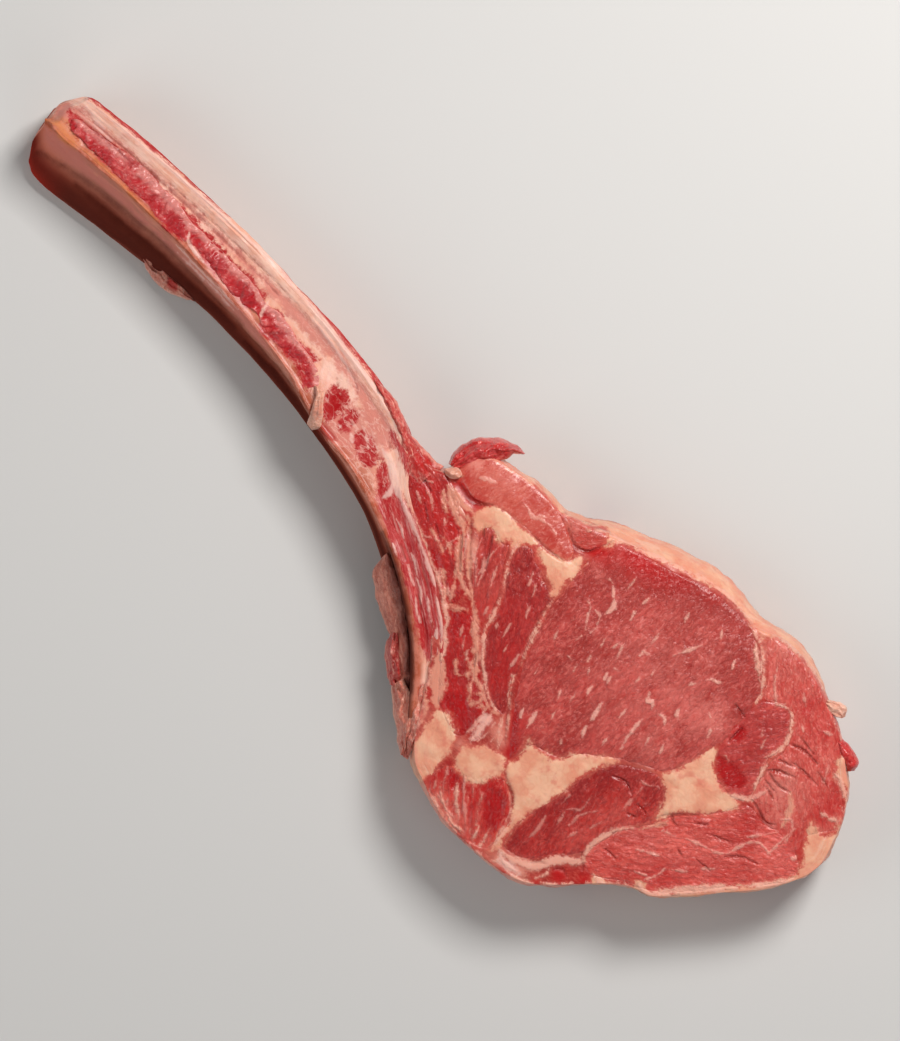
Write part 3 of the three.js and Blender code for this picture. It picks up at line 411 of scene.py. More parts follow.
# Soft round tone changes on the lean, (x, y, radius, strength). The pale spots near (7, 50), (150-165, 0-32) and
# (201-204, 26-34) are painted highlight where the wet lean shone; the rest are lighter tone.
faceSpots = {
    "dark": [
        (86, 58, 9, 0.55), (97, 62, 9, 0.8), (110, 66, 9, 1.1), (122, 70, 8, 0.8), (134, 73, 8, 0.6), (146, 70, 8, 0.5), (80, 40, 5, 0.75),
        (78, 33, 4, 0.6), (84, 50, 5, 0.5), (158, 62, 7, 0.35), (168, 41, 4.5, 0.9), (80, -12, 6, 0.3), (62, 18, 9, 0.3), (160, 52, 7, 0.25),
        (70, -12, 9, 0.35), (140, -20, 8, 0.6), (132, -50, 8, 0.5), (150, -8, 6, 0.6), (138, -35, 7, 0.5), (146, -12, 6, 0.4), (96, 8, 9, 0.2),
        (162, -14, 6, 0.3), (86, -66, 6, 0.5), (106, -60, 8, 0.6), (114, -70, 6, 0.4), (60, -28, 9, 0.5), (72, -42, 8, 0.7), (128, -64, 6, 0.4),
        (52, -20, 8, 0.4), (10, 20, 8, 0.4), (-4, 24, 6, 0.5), (32, 28, 5, 0.45), (46, 6, 7, 0.4), (180, 44, 8, 0.35), (112, -22, 7, 0.2),
        (186, 26, 7, 0.35), (160, -50, 6, 0.25), (215, -8, 9, 0.2), (228, -2, 7, 0.2), (176, 30, 4, 0.3), (122, 8, 8, 0.15), (229, 30, 5, 0.5),
        (34, -14, 6, 0.3), (218, 35, 6, 0.3), (66, 55, 4, 0.6), (20, 57, 4, 0.3), (12, 41, 5, 0.3), (200, 2, 6, 0.2), (170, -46, 7, 0.2),
    ],
    "pale": [
        (120, 38, 20, 0.3), (130, 12, 18, 0.3), (104, 8, 12, 0.12), (150, 26, 14, 0.35), (152, 2, 10, 0.4), (160, 32, 8, 0.6), (140, 50, 12, 0.2),
        (204, 26, 9, 0.6), (201, 34, 6, 0.3), (158, -28, 8, 0.5), (150, -48, 8, 0.45), (176, 68, 8, 0.2), (163, 75, 6, 0.6), (154, -36, 6, 0.3),
        (180, -30, 12, 0.25), (200, -16, 10, 0.2), (222, 2, 8, 0.4), (60, 60, 7, 0.5), (7, 50, 4, 0.9), (18, 52, 8, 0.4), (165, 30, 4, 0.5),
        (40, 48, 8, 0.2), (137, -77, 5, 1.0), (129, -79, 4, 0.8), (144, -78, 4, 0.6), (29, 21, 4, 0.8), (92, -33, 5, 0.9), (88, -77, 6, 0.8), (101, -80, 8, 1.0), (118, -81, 6, 0.6), (210, 16, 5, 0.4),
        (16, 12, 4, 0.4), (58, -14, 5, 0.35), (216, 24, 6, 0.3), (80, 48, 2.5, 0.7), (77, 60, 4, 0.5), (82, 61, 4, 0.35), (96, -36, 4, 0.6),
        (-10, 36, 4, 0.4), (-6, 34, 3, 0.4), (44, -19, 4, 0.5), (58, -60, 5, 0.7), (60, -50, 4, 0.4), (82, -50, 3, 0.6), (75, 52, 3, 0.4),
    ],
    "red": [
        (82, 62, 6, 0.8), (71, 66, 4, 0.8), (76, 60, 3, 0.8), (92, 66, 7, 0.9), (102, 66, 7, 0.7), (112, 70, 6, 0.6), (78, 54, 4, 0.6), (126, 74, 5, 0.4), (74, 57, 3, 0.8), (90, 62, 8, 0.3),
        (64, -34, 9, 0.8), (72, -40, 9, 0.9), (48, -14, 8, 0.8), (44, -9, 5, 0.8), (22, 4, 6, 0.9), (30, 1, 4, 0.8), (14, 16, 8, 0.7), (2, 22, 8, 0.7),
        (14, 30, 5, 0.5), (-6, 30, 6, 0.7), (48, 1, 5, 0.6), (60, 8, 8, 0.5), (70, -4, 8, 0.6), (76, -18, 7, 0.7), (95, -29, 6, 0.9), (101, -38, 4, 0.9),
        (110, -60, 9, 0.7), (90, -64, 7, 0.8), (84, -72, 5, 0.7), (104, -72, 8, 0.6), (182, 16, 6, 0.8), (175, 34, 3, 0.8), (190, 62, 9, 0.4),
        (226, 28, 5, 0.7), (228, 36, 6, 0.5), (222, 12, 6, 0.4), (218, 57, 5, 0.9), (203, 56, 7, 0.5), (153.4, -67.4, 4, 1.3), (164, -61, 5, 1.0), (147, -76, 3, 1.0),
        (134, -79.6, 5, 0.9), (115, -82, 8, 0.7), (4, 40, 5, 0.8), (20, 36, 4, 0.9), (72, 53, 3, 0.9), (64, 58, 5, 0.5), (34, 4, 4, 0.7), (40, 36, 3, 0.5),
        (196, -40, 8, 0.5), (212, -24, 8, 0.5), (184, -46, 6, 0.5), (230, 10, 5, 0.5), (205, 5, 6, 0.5), (188, -36, 6, 0.4), (36, 26, 4, 0.4),
    ],
}


# Every mark on the cut face at the given places: lines and patches as distances in mm, spots as strengths, and
# the distance in from the slice's outline.
def faceMarks(x, y):
    marks = {name: lineField(x, y, lines) for name, lines in faceLines.items()}
    marks.update({name: patchField(x, y, patches) for name, patches in facePatches.items()})
    marks.update({name: spotField(x, y, spots) for name, spots in faceSpots.items()})
    marks["edge"] = np.minimum(-outlineField(x, y, sliceLoop[::2]), 20)
    return marks


# How the marks lift or sink the surface: fat stands a little proud, cracks and blood pits are sunk.
def markRelief(marks):
    relief = 0.3 * ease(-marks["fat"], -0.6, 1.2) + 0.25 * ease(-marks["cream"], -0.4, 0.5)
    relief = relief - 0.55 * ease(-marks["crack"], -0.9, 0.3) - 0.5 * ease(-marks["blood"], -1.2, 2)
    return relief + 0.12 * ease(-marks["fleck"], -0.3, 0.3) + 0.2 * ease(-marks["peach"], -0.5, 0.6)


# ---------- shader node groups and materials ----------

# A small hand for building node trees: add(kind, values by socket name or number, settings).
class nodeDesk:
    def __init__(self, tree):
        self.tree = tree

    def add(self, kind, inputs=None, **settings):
        node = self.tree.nodes.new(kind)
        for setting, value in settings.items():
            setattr(node, setting, value)
        for socket, value in (inputs or {}).items():
            self.put(node.inputs[socket], value)
        return node

    def put(self, socket, value):
        if isinstance(value, bpy.types.NodeSocket):
            self.tree.links.new(value, socket)
        else:
            socket.default_value = value

    def math(self, operation, a, b=0.0, clamp=False):
        node = self.add("ShaderNodeMath", {0: a, 1: b}, operation=operation, use_clamp=clamp)
        return node.outputs[0]

    # value from low..high to 0..1, eased
    def step(self, value, low, high):
        node = self.add("ShaderNodeMapRange", {"Value": value, "From Min": low, "From Max": high},
                        interpolation_type="SMOOTHSTEP")
        return node.outputs["Result"]

    def mix(self, share, a, b, blend="MIX"):
        node = self.add("ShaderNodeMix", data_type="RGBA", blend_type=blend)
        for k, value in ((0, share), (6, a), (7, b)):
            self.put(node.inputs[k], value)
        return node.outputs[2]

    def stretched(self, place, scale, turn=0.0):
        node = self.add("ShaderNodeMapping", {"Vector": place, "Rotation": (0, 0, turn), "Scale": scale})
        return node.outputs["Vector"]

    # a place pushed about by a noise, so that regular patterns wander
    def bent(self, place, scale, reach):
        swirl = self.add("ShaderNodeTexNoise", {"Vector": place, "Scale": scale, "Detail": 2.0})
        push = self.add("ShaderNodeVectorMath", {0: swirl.outputs["Color"], 1: (0.5, 0.5, 0.5)}, operation="SUBTRACT")
        push = self.add("ShaderNodeVectorMath", {0: push.outputs[0], 1: (reach, reach, reach)}, operation="MULTIPLY")
        return self.add("ShaderNodeVectorMath", {0: place, 1: push.outputs[0]}, operation="ADD").outputs[0]

    def noise(self, place, scale, detail=2.0, roughness=0.5):
        node = self.add("ShaderNodeTexNoise", {"Vector": place, "Scale": scale, "Detail": detail, "Roughness": roughness})
        return node.outputs["Fac"]

    def attribute(self, name):
        return self.add("ShaderNodeAttribute", attribute_name=name).outputs["Fac"]


# sRGB 0..255 to the linear colour that the nodes take.
def tint(red, green, blue):
    share = np.array([red, green, blue]) / 255
    linear = np.where(share <= 0.04045, share / 12.92, ((share + 0.055) / 1.055) ** 2.4)
    return (*(float(v) for v in linear), 1.0)


def newGroup(name, inputs, outputs):
    group = bpy.data.node_groups.new(name, "ShaderNodeTree")
    for label, kind in inputs:
        group.interface.new_socket(label, in_out="INPUT", socket_type="NodeSocket" + kind)
    for label, kind in outputs:
        group.interface.new_socket(label, in_out="OUTPUT", socket_type="NodeSocket" + kind)
    desk = nodeDesk(group)
    return group, desk, desk.add("NodeGroupInput"), desk.add("NodeGroupOutput")


# Wet lean: slow patches, ragged fibres along X of the place, pebbles, grains, wrinkles and hair-thin pale strands.
# Place is in mm. Streak adds long pale streaks along the fibres.
def leanGrainGroup():
    group, desk, given, result = newGroup(
        "leanGrain", [("Place", "Vector"), ("Lean", "Color"), ("Deep", "Color"), ("Pale", "Color"), ("Streak", "Float")],
        [("Color", "Color"), ("Height", "Float"), ("Warp", "Float")])
    place = desk.bent(given.outputs["Place"], 0.22, 2.6)
    patches = desk.noise(desk.stretched(place, (0.05, 0.08, 0.06)), 1, 3, 0.6)
    fibres = desk.noise(desk.stretched(place, (0.2, 0.6, 0.5)), 1, 4, 0.65)
    grains = desk.noise(desk.stretched(place, (0.5, 0.85, 0.7)), 1, 2, 0.6)
    pebbles = desk.add("ShaderNodeTexVoronoi", {"Vector": desk.stretched(desk.bent(place, 0.6, 1.5), (0.36, 0.55, 0.5)),
                                                "Scale": 1.0}).outputs["Distance"]
    pebbles = desk.step(pebbles, 0.78, 0.16)
    web = desk.noise(desk.stretched(place, (0.17, 0.6, 0.4)), 1, 2, 0.5)
    hair = desk.step(desk.math("ABSOLUTE", desk.math("SUBTRACT", web, 0.5)), 0.022, 0.0)
    hair = desk.math("MULTIPLY", hair, desk.step(desk.noise(place, 0.24, 1), 0.42, 0.62))
    streaks = desk.step(desk.noise(desk.stretched(place, (0.07, 0.62, 0.5)), 1, 3, 0.6), 0.56, 0.72)
    colour = desk.mix(desk.step(patches, 0.36, 0.66), given.outputs["Lean"], given.outputs["Deep"])
    colour = desk.mix(desk.math("MULTIPLY", desk.step(fibres, 0.5, 0.75), 0.5), colour, given.outputs["Pale"])
    colour = desk.mix(desk.math("MULTIPLY", desk.step(fibres, 0.5, 0.28), 0.55), colour, given.outputs["Deep"])
    colour = desk.mix(desk.math("MULTIPLY", desk.step(grains, 0.53, 0.68), 0.5), colour, given.outputs["Pale"])
    colour = desk.mix(desk.math("MULTIPLY", desk.step(grains, 0.45, 0.31), 0.55), colour, given.outputs["Deep"])
    colour = desk.mix(desk.math("MULTIPLY", desk.step(pebbles, 0.3, 0.0), 0.4), colour, given.outputs["Deep"])
    colour = desk.mix(desk.math("MULTIPLY", desk.step(pebbles, 0.7, 1.0), 0.14), colour, given.outputs["Pale"])
    wrinkles = desk.noise(desk.stretched(place, (0.11, 0.42, 0.4)), 1, 3, 0.6)
    wrinkles = desk.step(desk.math("ABSOLUTE", desk.math("SUBTRACT", wrinkles, 0.5)), 0.0, 0.035)
    colour = desk.mix(desk.math("MULTIPLY", desk.step(wrinkles, 0.5, 0.0), 0.5), colour, given.outputs["Deep"])
    colour = desk.mix(desk.math("MULTIPLY", hair, 0.45), colour, given.outputs["Pale"])
    colour = desk.mix(desk.math("MULTIPLY", streaks, given.outputs["Streak"]), colour, given.outputs["Pale"])
    height = desk.math("ADD", desk.math("MULTIPLY", fibres, 0.5), desk.math("MULTIPLY", grains, 0.3))
    height = desk.math("ADD", height, desk.math("MULTIPLY", pebbles, 0.22))
    height = desk.math("ADD", height, desk.math("MULTIPLY", wrinkles, 0.26))
    slow = desk.math("MULTIPLY", desk.math("SUBTRACT", desk.noise(given.outputs["Place"], 0.17, 2), 0.5), 1.3)
    quick = desk.math("MULTIPLY", desk.math("SUBTRACT", desk.noise(given.outputs["Place"], 0.6, 3, 0.7), 0.5), 1.2)
    desk.put(result.inputs["Color"], colour)
    desk.put(result.inputs["Height"], height)
    desk.put(result.inputs["Warp"], desk.math("ADD", slow, quick))
    return group


# Raw fat: lobes a few mm wide with darker joins, waxy tone changes and faint pink smears. Place is in mm.
def fatGrainGroup():
    group, desk, given, result = newGroup(
        "fatGrain", [("Place", "Vector"), ("Cream", "Color"), ("Peach", "Color"), ("Joint", "Color"), ("Cell", "Float")],
        [("Color", "Color"), ("Height", "Float")])
    place = desk.bent(given.outputs["Place"], 0.3, 3.0)
    cells = desk.add("ShaderNodeTexVoronoi", {"Vector": place, "Scale": given.outputs["Cell"]},
                     feature="DISTANCE_TO_EDGE").outputs["Distance"]
    joints = desk.math("MULTIPLY", desk.step(cells, 0.16, 0.0), desk.step(desk.noise(place, 0.16, 1), 0.4, 0.6))
    tone = desk.noise(place, 0.085, 3, 0.55)
    fine = desk.noise(place, 0.9, 3, 0.6)
    smear = desk.noise(given.outputs["Place"], 0.1, 3, 0.7)
    colour = desk.mix(desk.step(tone, 0.38, 0.62), given.outputs["Cream"], given.outputs["Peach"])
    colour = desk.mix(desk.math("MULTIPLY", joints, 0.2), colour, given.outputs["Joint"])
    colour = desk.mix(desk.math("MULTIPLY", desk.step(fine, 0.5, 0.8), 0.06), colour, given.outputs["Joint"])
    colour = desk.mix(desk.math("MULTIPLY", desk.step(smear, 0.54, 0.72), 0.6), colour, given.outputs["Joint"])
    height = desk.math("ADD", desk.math("MULTIPLY", desk.step(cells, 0.0, 0.6), 0.35), desk.math("MULTIPLY", fine, 0.08))
    desk.put(result.inputs["Color"], colour)
    desk.put(result.inputs["Height"], height)
    return group


# The marks of a cut face laid over a ground colour. Marks come as distances in mm, shifted by a warp so that
# their edges are ragged; dark, pale and red come as strengths.
def cutMarksGroup():
    floats = ["Warp", "Marbling", "Edge", "Fleck", "Cream", "Peach", "Fat", "Gristle", "Crack", "Blood", "Dark", "Pale", "Red"]
    colours = ["Ground", "Fat Color", "Deep Color", "Pale Color", "Red Color"]
    group, desk, given, result = newGroup(
        "cutMarks", [(label, "Color") for label in colours] + [(label, "Float") for label in floats],
        [("Color", "Color"), ("Height", "Float"), ("Wet", "Float")])
    get = given.outputs

    def mask(label, ragged, soft, grow=0.0):
        shifted = desk.math("ADD", get[label], desk.math("MULTIPLY", get["Warp"], ragged))
        return desk.step(desk.math("SUBTRACT", shifted, grow), soft, -soft)

    uneven = desk.step(get["Warp"], -0.45, 0.2)
    colour = desk.mix(desk.math("MULTIPLY", get["Dark"], 0.85, True), get["Ground"], get["Deep Color"])
    # pale spots: lighter tone, and in places painted highlight
    colour = desk.mix(desk.math("MULTIPLY", get["Pale"], uneven, True), colour, get["Pale Color"])
    colour = desk.mix(desk.math("MULTIPLY", get["Red"], 0.8, True), colour, get["Red Color"])
    colour = desk.mix(desk.math("MULTIPLY", mask("Blood", 3.0, 1.4), 0.8), colour, tint(166, 14, 18))
    # membrane and scraps of fat round the slice's edge
    colour = desk.mix(desk.math("MULTIPLY", mask("Edge", 6.5, 1.2, 2.4), 0.75), colour, tint(230, 168, 152))
    colour = desk.mix(desk.math("MULTIPLY", mask("Peach", 3.2, 1.0, 0.3), 0.8), colour, tint(224, 152, 128))
    # fat shades into the lean through a pink margin
    colour = desk.mix(desk.math("MULTIPLY", mask("Fat", 4.4, 2.2, 1.0), 0.6), colour, tint(216, 118, 98))
    fat, cream = mask("Fat", 4.4, 0.9), mask("Cream", 2.8, 0.7)
    colour = desk.mix(fat, colour, get["Fat Color"])
    colour = desk.mix(desk.math("MULTIPLY", mask("Cream", 2.6, 1.6, 0.4), 0.35), colour, tint(222, 132, 114))
    colour = desk.mix(desk.math("MULTIPLY", cream, 0.8), colour, tint(232, 170, 150))
    colour = desk.mix(desk.math("MULTIPLY", mask("Gristle", 4.0, 1.4), 0.75), colour, tint(232, 182, 168))
    fleck, crack = mask("Fleck", 1.9, 0.5), mask("Crack", 1.0, 0.6)
    colour = desk.mix(desk.math("MULTIPLY", mask("Fleck", 2.0, 1.2, 0.3), 0.2), colour, get["Pale Color"])
    colour = desk.mix(desk.math("MULTIPLY", fleck, get["Marbling"]), colour, tint(232, 166, 150))
    # cracks painted dark: painted shade in the sunk crevices
    colour = desk.mix(desk.math("MULTIPLY", crack, desk.math("MULTIPLY", uneven, 0.7)), colour, tint(112, 22, 18))
    height = desk.math("ADD", desk.math("MULTIPLY", fat, 0.15), desk.math("MULTIPLY", fleck, 0.35))
    height = desk.math("ADD", height, desk.math("MULTIPLY", cream, 0.6))
    desk.put(result.inputs["Color"], colour)
    desk.put(result.inputs["Height"], desk.math("SUBTRACT", height, crack))
    desk.put(result.inputs["Wet"], desk.math("MAXIMUM", mask("Blood", 3.0, 1.4), crack))
    return group


leanGrain, fatGrain, cutMarks = leanGrainGroup(), fatGrainGroup(), cutMarksGroup()
fatTones = {"Cream": tint(228, 174, 144), "Peach": tint(220, 148, 120), "Joint": tint(208, 110, 92)}


def newMaterial(name):
    material = bpy.data.materials.new(name)
    material.use_nodes = True
    material.node_tree.nodes.clear()
    return material, nodeDesk(material.node_tree)


def objectPlace(desk, turn=0.0):
    coordinates = desk.add("ShaderNodeTexCoord")
    return desk.stretched(coordinates.outputs["Object"], (1000, 1000, 1000), turn)


def useGroup(desk, group, inputs):
    node = desk.add("ShaderNodeGroup", node_tree=group)
    for label, value in inputs.items():
        desk.put(node.inputs[label], value)
    return node.outputs


# The wet finish that lean, fat and rib share; constants sit on the shader's own sockets.
def wetShader(desk, colour, roughness, height, look):
    bump = desk.add("ShaderNodeBump", {"Height": height, "Strength": look.get("bump", 0.75),
                                       "Distance": look.get("bumpDepth", 0.9) * mm})
    shader = desk.add("ShaderNodeBsdfPrincipled", {
        "Base Color": colour, "Roughness": roughness, "Normal": bump.outputs["Normal"],
        "Subsurface Weight": look.get("soft", 0.12), "Subsurface Radius": (1.0, 0.35, 0.2),
        "Subsurface Scale": 1.3 * mm, "Specular IOR Level": look.get("gloss", 0.4),
        "Coat Weight": look.get("coat", 0.18), "Coat Roughness": look.get("coatRough", 0.16),
    })
    output = desk.add("ShaderNodeOutputMaterial")
    desk.put(output.inputs["Surface"], shader.outputs["BSDF"])


markSockets = {"Edge": "edge", "Fleck": "fleck", "Cream": "cream", "Peach": "peach", "Fat": "fat", "Gristle": "gristle", "Crack": "crack",
               "Blood": "blood", "Dark": "dark", "Pale": "pale", "Red": "red"}


# Lean with its marks. look: lean, deep and pale colours, fibre angle, streaks and finish values.
def leanMaterial(name, look, marked=True):
    material, desk = newMaterial(name)
    place = objectPlace(desk, -math.radians(look["fibre"]))
    tones = {"Lean": tint(*look["lean"]), "Deep": tint(*look["deep"]), "Pale": tint(*look["pale"])}
    grain = useGroup(desk, leanGrain, {"Place": place, "Streak": look.get("streak", 0.3), **tones})
    colour, height = grain["Color"], grain["Height"]
    shine = desk.math("ADD", look.get("rough", 0.42), desk.math("MULTIPLY", grain["Warp"], 0.25))
    if marked:
        fat = useGroup(desk, fatGrain, {"Place": objectPlace(desk), "Cell": 0.3, **fatTones})
        marks = useGroup(desk, cutMarks, {
            "Ground": colour, "Fat Color": fat["Color"], "Deep Color": tones["Deep"], "Pale Color": tones["Pale"],
            "Red Color": tint(184, 22, 22), "Warp": grain["Warp"], "Marbling": look.get("marbling", 0.55),
            **{label: desk.attribute(name) for label, name in markSockets.items()}})
        colour, height = marks["Color"], desk.math("ADD", height, marks["Height"])
        shine = desk.math("SUBTRACT", shine, desk.math("MULTIPLY", marks["Wet"], 0.14))
    wetShader(desk, colour, shine, height, look)
    return material


print("shader groups ready")


# ---------- muscles ----------

# Each muscle runs through the slice. outline: its border on the cut face; tips: the two ends that its rows run
# between; rows and columns: how fine; bulge: how much its middle swells; ridge: height of its fibre relief.
leanLook = {"lean": (190, 70, 64), "deep": (156, 40, 35), "pale": (216, 114, 104), "rough": 0.38, "coat": 0.13, "streak": 0.12, "marbling": 0.8}
darkLook = {"lean": (176, 38, 36), "deep": (142, 18, 18), "pale": (204, 82, 70), "rough": 0.36, "streak": 0.5}
paleLook = {"lean": (200, 90, 76), "deep": (180, 54, 44), "pale": (220, 132, 118), "rough": 0.34, "streak": 0.2}
muscles = {
    "eyeMuscle": {
        "node": "eye_muscle", "slot": "lean", "tips": [(103.3, -42.5), (126, 75.5)], "rows": 230, "columns": 170,
        "bulge": 0.9, "ridge": 0.14, "look": {**leanLook, "fibre": 82},
        "outline": [
            (73.5, 57), (76, 62.5), (82, 66.5), (92, 68.6), (103, 70.8), (114, 73.6), (126, 76.4), (138, 76.6), (148, 73.6),
            (156, 70), (163, 64.5), (169, 57), (171, 50), (171.4, 42), (171.2, 32), (170.4, 22), (167.4, 13), (163.5, 4),
            (159, -2), (152, -5), (143, -9), (135, -14), (126, -20), (120, -27), (113, -29.4), (107, -30),
            (105, -35), (103.3, -42.5), (98, -36), (92, -27), (86, -17.5), (81, -7), (77.5, 4), (74.7, 14), (73, 25),
            (72.3, 38), (72.5, 48)]},
    "sideMuscle": {
        "node": "side_muscle", "slot": "dark_lean", "tips": [(89.5, -28), (48, 37.5)], "rows": 150, "columns": 64,
        "bulge": 0.45, "ridge": 0.2, "look": {**darkLook, "lean": (172, 40, 38), "deep": (140, 18, 18), "pale": (200, 78, 68), "fibre": 116, "streak": 0.35},
        "outline": [
            (44, 33.5), (47, 37.5), (51, 38.3), (55, 35), (61, 31.5), (67, 29), (71.4, 26), (72.8, 15), (76, 3.5),
            (79.6, -8), (84.6, -18.5), (89.5, -28), (83, -28), (75, -24), (68.4, -19), (62.4, -12), (58.4, -4.5),
            (56.6, 3), (54, 11), (49.6, 19), (45.4, 27)]},
    "stripedMuscle": {
        "node": "striped_muscle", "slot": "dark_lean", "tips": [(54.5, -2.4), (31, 33.5)], "rows": 90, "columns": 44,
        "bulge": 0.35, "ridge": 0.22, "look": {**darkLook, "lean": (196, 72, 64), "deep": (158, 34, 30), "fibre": 118, "streak": 0.7},
        "outline": [
            (27.4, 31.6), (33, 33.8), (38, 32), (42.6, 32.6), (45, 26), (49, 18), (53.2, 10.5), (55.6, 3), (54.9, -2.4),
            (49, -2.4), (43, 3), (37.5, 10), (32, 18), (27.6, 26)]},
    "fingerMuscle": {
        "node": "finger_muscle", "slot": "dark_lean", "tips": [(38, -7), (-13, 33)], "rows": 130, "columns": 50,
        "bulge": 0.3, "ridge": 0.22, "look": {**darkLook, "lean": (186, 18, 16), "deep": (148, 8, 8), "pale": (206, 80, 68), "fibre": 146, "streak": 0.6},
        "outline": [
            (-14, 36), (-5, 39), (3, 37.6), (12, 33.4), (20, 29), (27, 20), (33.6, 12), (39.4, 6), (40.6, -2),
            (36, -8), (27, -4.5), (18, 1.5), (9, 7.5), (0, 13.5), (-8, 19), (-15, 26)]},
    "ribMuscle": {
        "node": "rib_muscle", "slot": "dark_lean", "tips": [(78, -47), (41, -5)], "rows": 110, "columns": 52,
        "bulge": 0.3, "ridge": 0.22, "look": {**darkLook, "lean": (180, 8, 8), "deep": (142, 6, 8), "pale": (202, 70, 60), "fibre": 135, "streak": 0.4},
        "outline": [
            (38.5, -7), (45, -2.6), (53.6, -3.2), (58, -7.6), (62.5, -13.5), (68, -19.5), (75, -24.5), (81.6, -29),
            (82, -37), (81.5, -46), (77, -49.6), (69, -46.5), (61, -42.5), (54.5, -34.5), (48, -25), (41.5, -15)]},
    "upperMuscle": {
        "node": "upper_muscle", "slot": "pale_lean", "tips": [(1.4, 49), (67, 46)], "rows": 150, "columns": 60,
        "bulge": 1.1, "ridge": 0.14, "look": {**paleLook, "fibre": 70, "rough": 0.32, "bump": 0.45, "bumpDepth": 0.5, "coat": 0.12},
        "outline": [
            (1.4, 50), (4, 54.5), (11, 58), (20, 59.4), (30, 60), (40, 59.8), (49.5, 58.3), (57, 54.6), (63, 51),
            (67, 46.4), (65.4, 42), (58, 41), (48, 41.4), (38, 42), (28, 41.2), (22, 38), (16, 36.4), (10, 38.6),
            (4.6, 41.6), (1.8, 45.4)]},
    "wedgeMuscle": {
        "node": "wedge_muscle", "slot": "pale_lean", "tips": [(51, 59.4), (71, 65)], "rows": 50, "columns": 34,
        "bulge": 0.3, "ridge": 0.13, "look": {**paleLook, "lean": (200, 84, 78), "fibre": 40, "streak": 0.5},
        "outline": [
            (51, 59.4), (58, 60.8), (64, 63.4), (70, 66.4), (73.6, 64), (73.2, 59), (72, 53), (68, 50.4), (62.6, 51.6),
            (57.4, 55), (52.8, 57.6)]},
    "outerMuscle": {
        "node": "outer_muscle", "slot": "pale_lean", "tips": [(157, 76.4), (214, 11)], "rows": 200, "columns": 100,
        "bulge": 0.6, "ridge": 0.22, "look": {**paleLook, "fibre": 130, "rough": 0.38, "lean": (212, 92, 82), "deep": (184, 50, 44)},
        "outline": [
            (156.6, 76.2), (163, 78.8), (171, 78.6), (180, 77.1), (190, 74), (200, 69), (208, 64), (215, 58),
            (221, 50), (228, 43), (235, 35.6), (237, 29), (231, 21.5), (228, 17), (228, 9), (220, 8.6), (214, 10.4), (208, 9.6),
            (203, 11), (197, 12.6), (195.6, 20), (194.6, 27), (192.8, 33), (194, 40), (193, 46), (190.6, 51), (187.5, 55),
            (183, 56.2), (179, 54.6), (173, 51.5), (170.6, 56), (166, 63), (161, 68.8), (157.4, 72)]},
    "nuggetMuscle": {
        "node": "nugget_muscle", "slot": "dark_lean", "tips": [(186, 9.5), (184, 57)], "rows": 100, "columns": 56,
        "bulge": 0.6, "ridge": 0.22, "look": {**darkLook, "lean": (200, 74, 70), "deep": (160, 38, 36), "fibre": 60, "streak": 0.2},
        "outline": [
            (184, 57.2), (188.4, 55.2), (191.8, 50.6), (193.6, 45), (194.2, 39.5), (193.2, 34), (194.2, 28), (195.8, 22),
            (197, 16), (195, 10.5), (189, 8.8), (184, 9.2), (179, 11.2), (175, 14.9), (172.3, 19.5), (171, 25),
            (170.7, 32), (170.7, 40), (171.2, 47.6), (173.6, 52.6), (178.6, 55.4)]},
    "lowerMuscle": {
        "node": "lower_muscle", "slot": "lean", "tips": [(157.4, -53), (235, 3)], "rows": 200, "columns": 100,
        "bulge": 0.6, "ridge": 0.24, "look": {**leanLook, "lean": (216, 84, 74), "deep": (180, 50, 44), "pale": (228, 122, 112), "fibre": 36, "rough": 0.36, "streak": 0.15, "marbling": 0.6},
        "outline": [
            (156, -51), (157.4, -44), (159.6, -37), (162.8, -30.9), (167, -26), (170.3, -21), (173, -15.9), (176.4, -11),
            (181.4, -7.2), (186, -2.8), (191, 3), (194.4, 8.4), (199, 12.8), (204, 12), (209, 10.8), (215, 11.8),
            (222, 11.6), (229.4, 9.8), (236, 3), (232.8, -5.6), (227, -12.6), (219, -20), (211, -28), (203, -36), (195.5, -43.2),
            (189, -47.2), (182, -49), (174, -53.8), (167, -57.7), (160.4, -57.6)]},
    "tailMuscle": {
        "node": "tail_muscle", "slot": "dark_lean", "tips": [(128, -73.8), (160, -3.6)], "rows": 170, "columns": 76,
        "bulge": 0.5, "ridge": 0.2, "look": {**darkLook, "lean": (186, 44, 38), "pale": (208, 90, 80), "fibre": 95, "streak": 0.15, "marbling": 0.4},
        "outline": [
            (159, -3.4), (164.6, -5.7), (168.3, -10), (170, -16), (169.4, -21.3), (166.3, -27), (162.3, -32),
            (159.3, -38.3), (157.2, -45.2), (156.2, -52), (151.6, -57.4), (146.6, -61.4), (142.6, -66.9), (137.4, -71.6),
            (131, -74), (125.4, -73.8), (123.3, -67), (124, -58), (126.5, -48.8), (129.5, -39.8), (131.5, -30.8),
            (134, -22.6), (138, -15.2), (143.3, -10.1), (149.6, -6.6), (154.7, -4)]},
    "chineMuscle": {
        "node": "chine_muscle", "slot": "dark_lean", "tips": [(80.6, -68), (121.4, -72)], "rows": 100, "columns": 80,
        "bulge": 0.3, "ridge": 0.4, "look": {**darkLook, "lean": (200, 18, 14), "deep": (166, 6, 6), "pale": (226, 130, 112), "fibre": 122, "streak": 0.75, "marbling": 0.42},
        "outline": [
            (80, -69), (82.6, -60.3), (90, -59), (97, -58), (100.4, -53.6), (105.4, -49.4), (111, -50.2), (116.8, -54.8),
            (120.4, -61.4), (121.8, -70), (121.8, -79), (115, -82.4), (107, -82.4), (98, -80.6), (89.4, -77.8), (82.8, -74.5)]},
}
seat = {"grow": 0.5, "sink": 0.42, "reach": 2.6, "wallRows": 5, "underside": 0.05}  # how a muscle sits in the fat


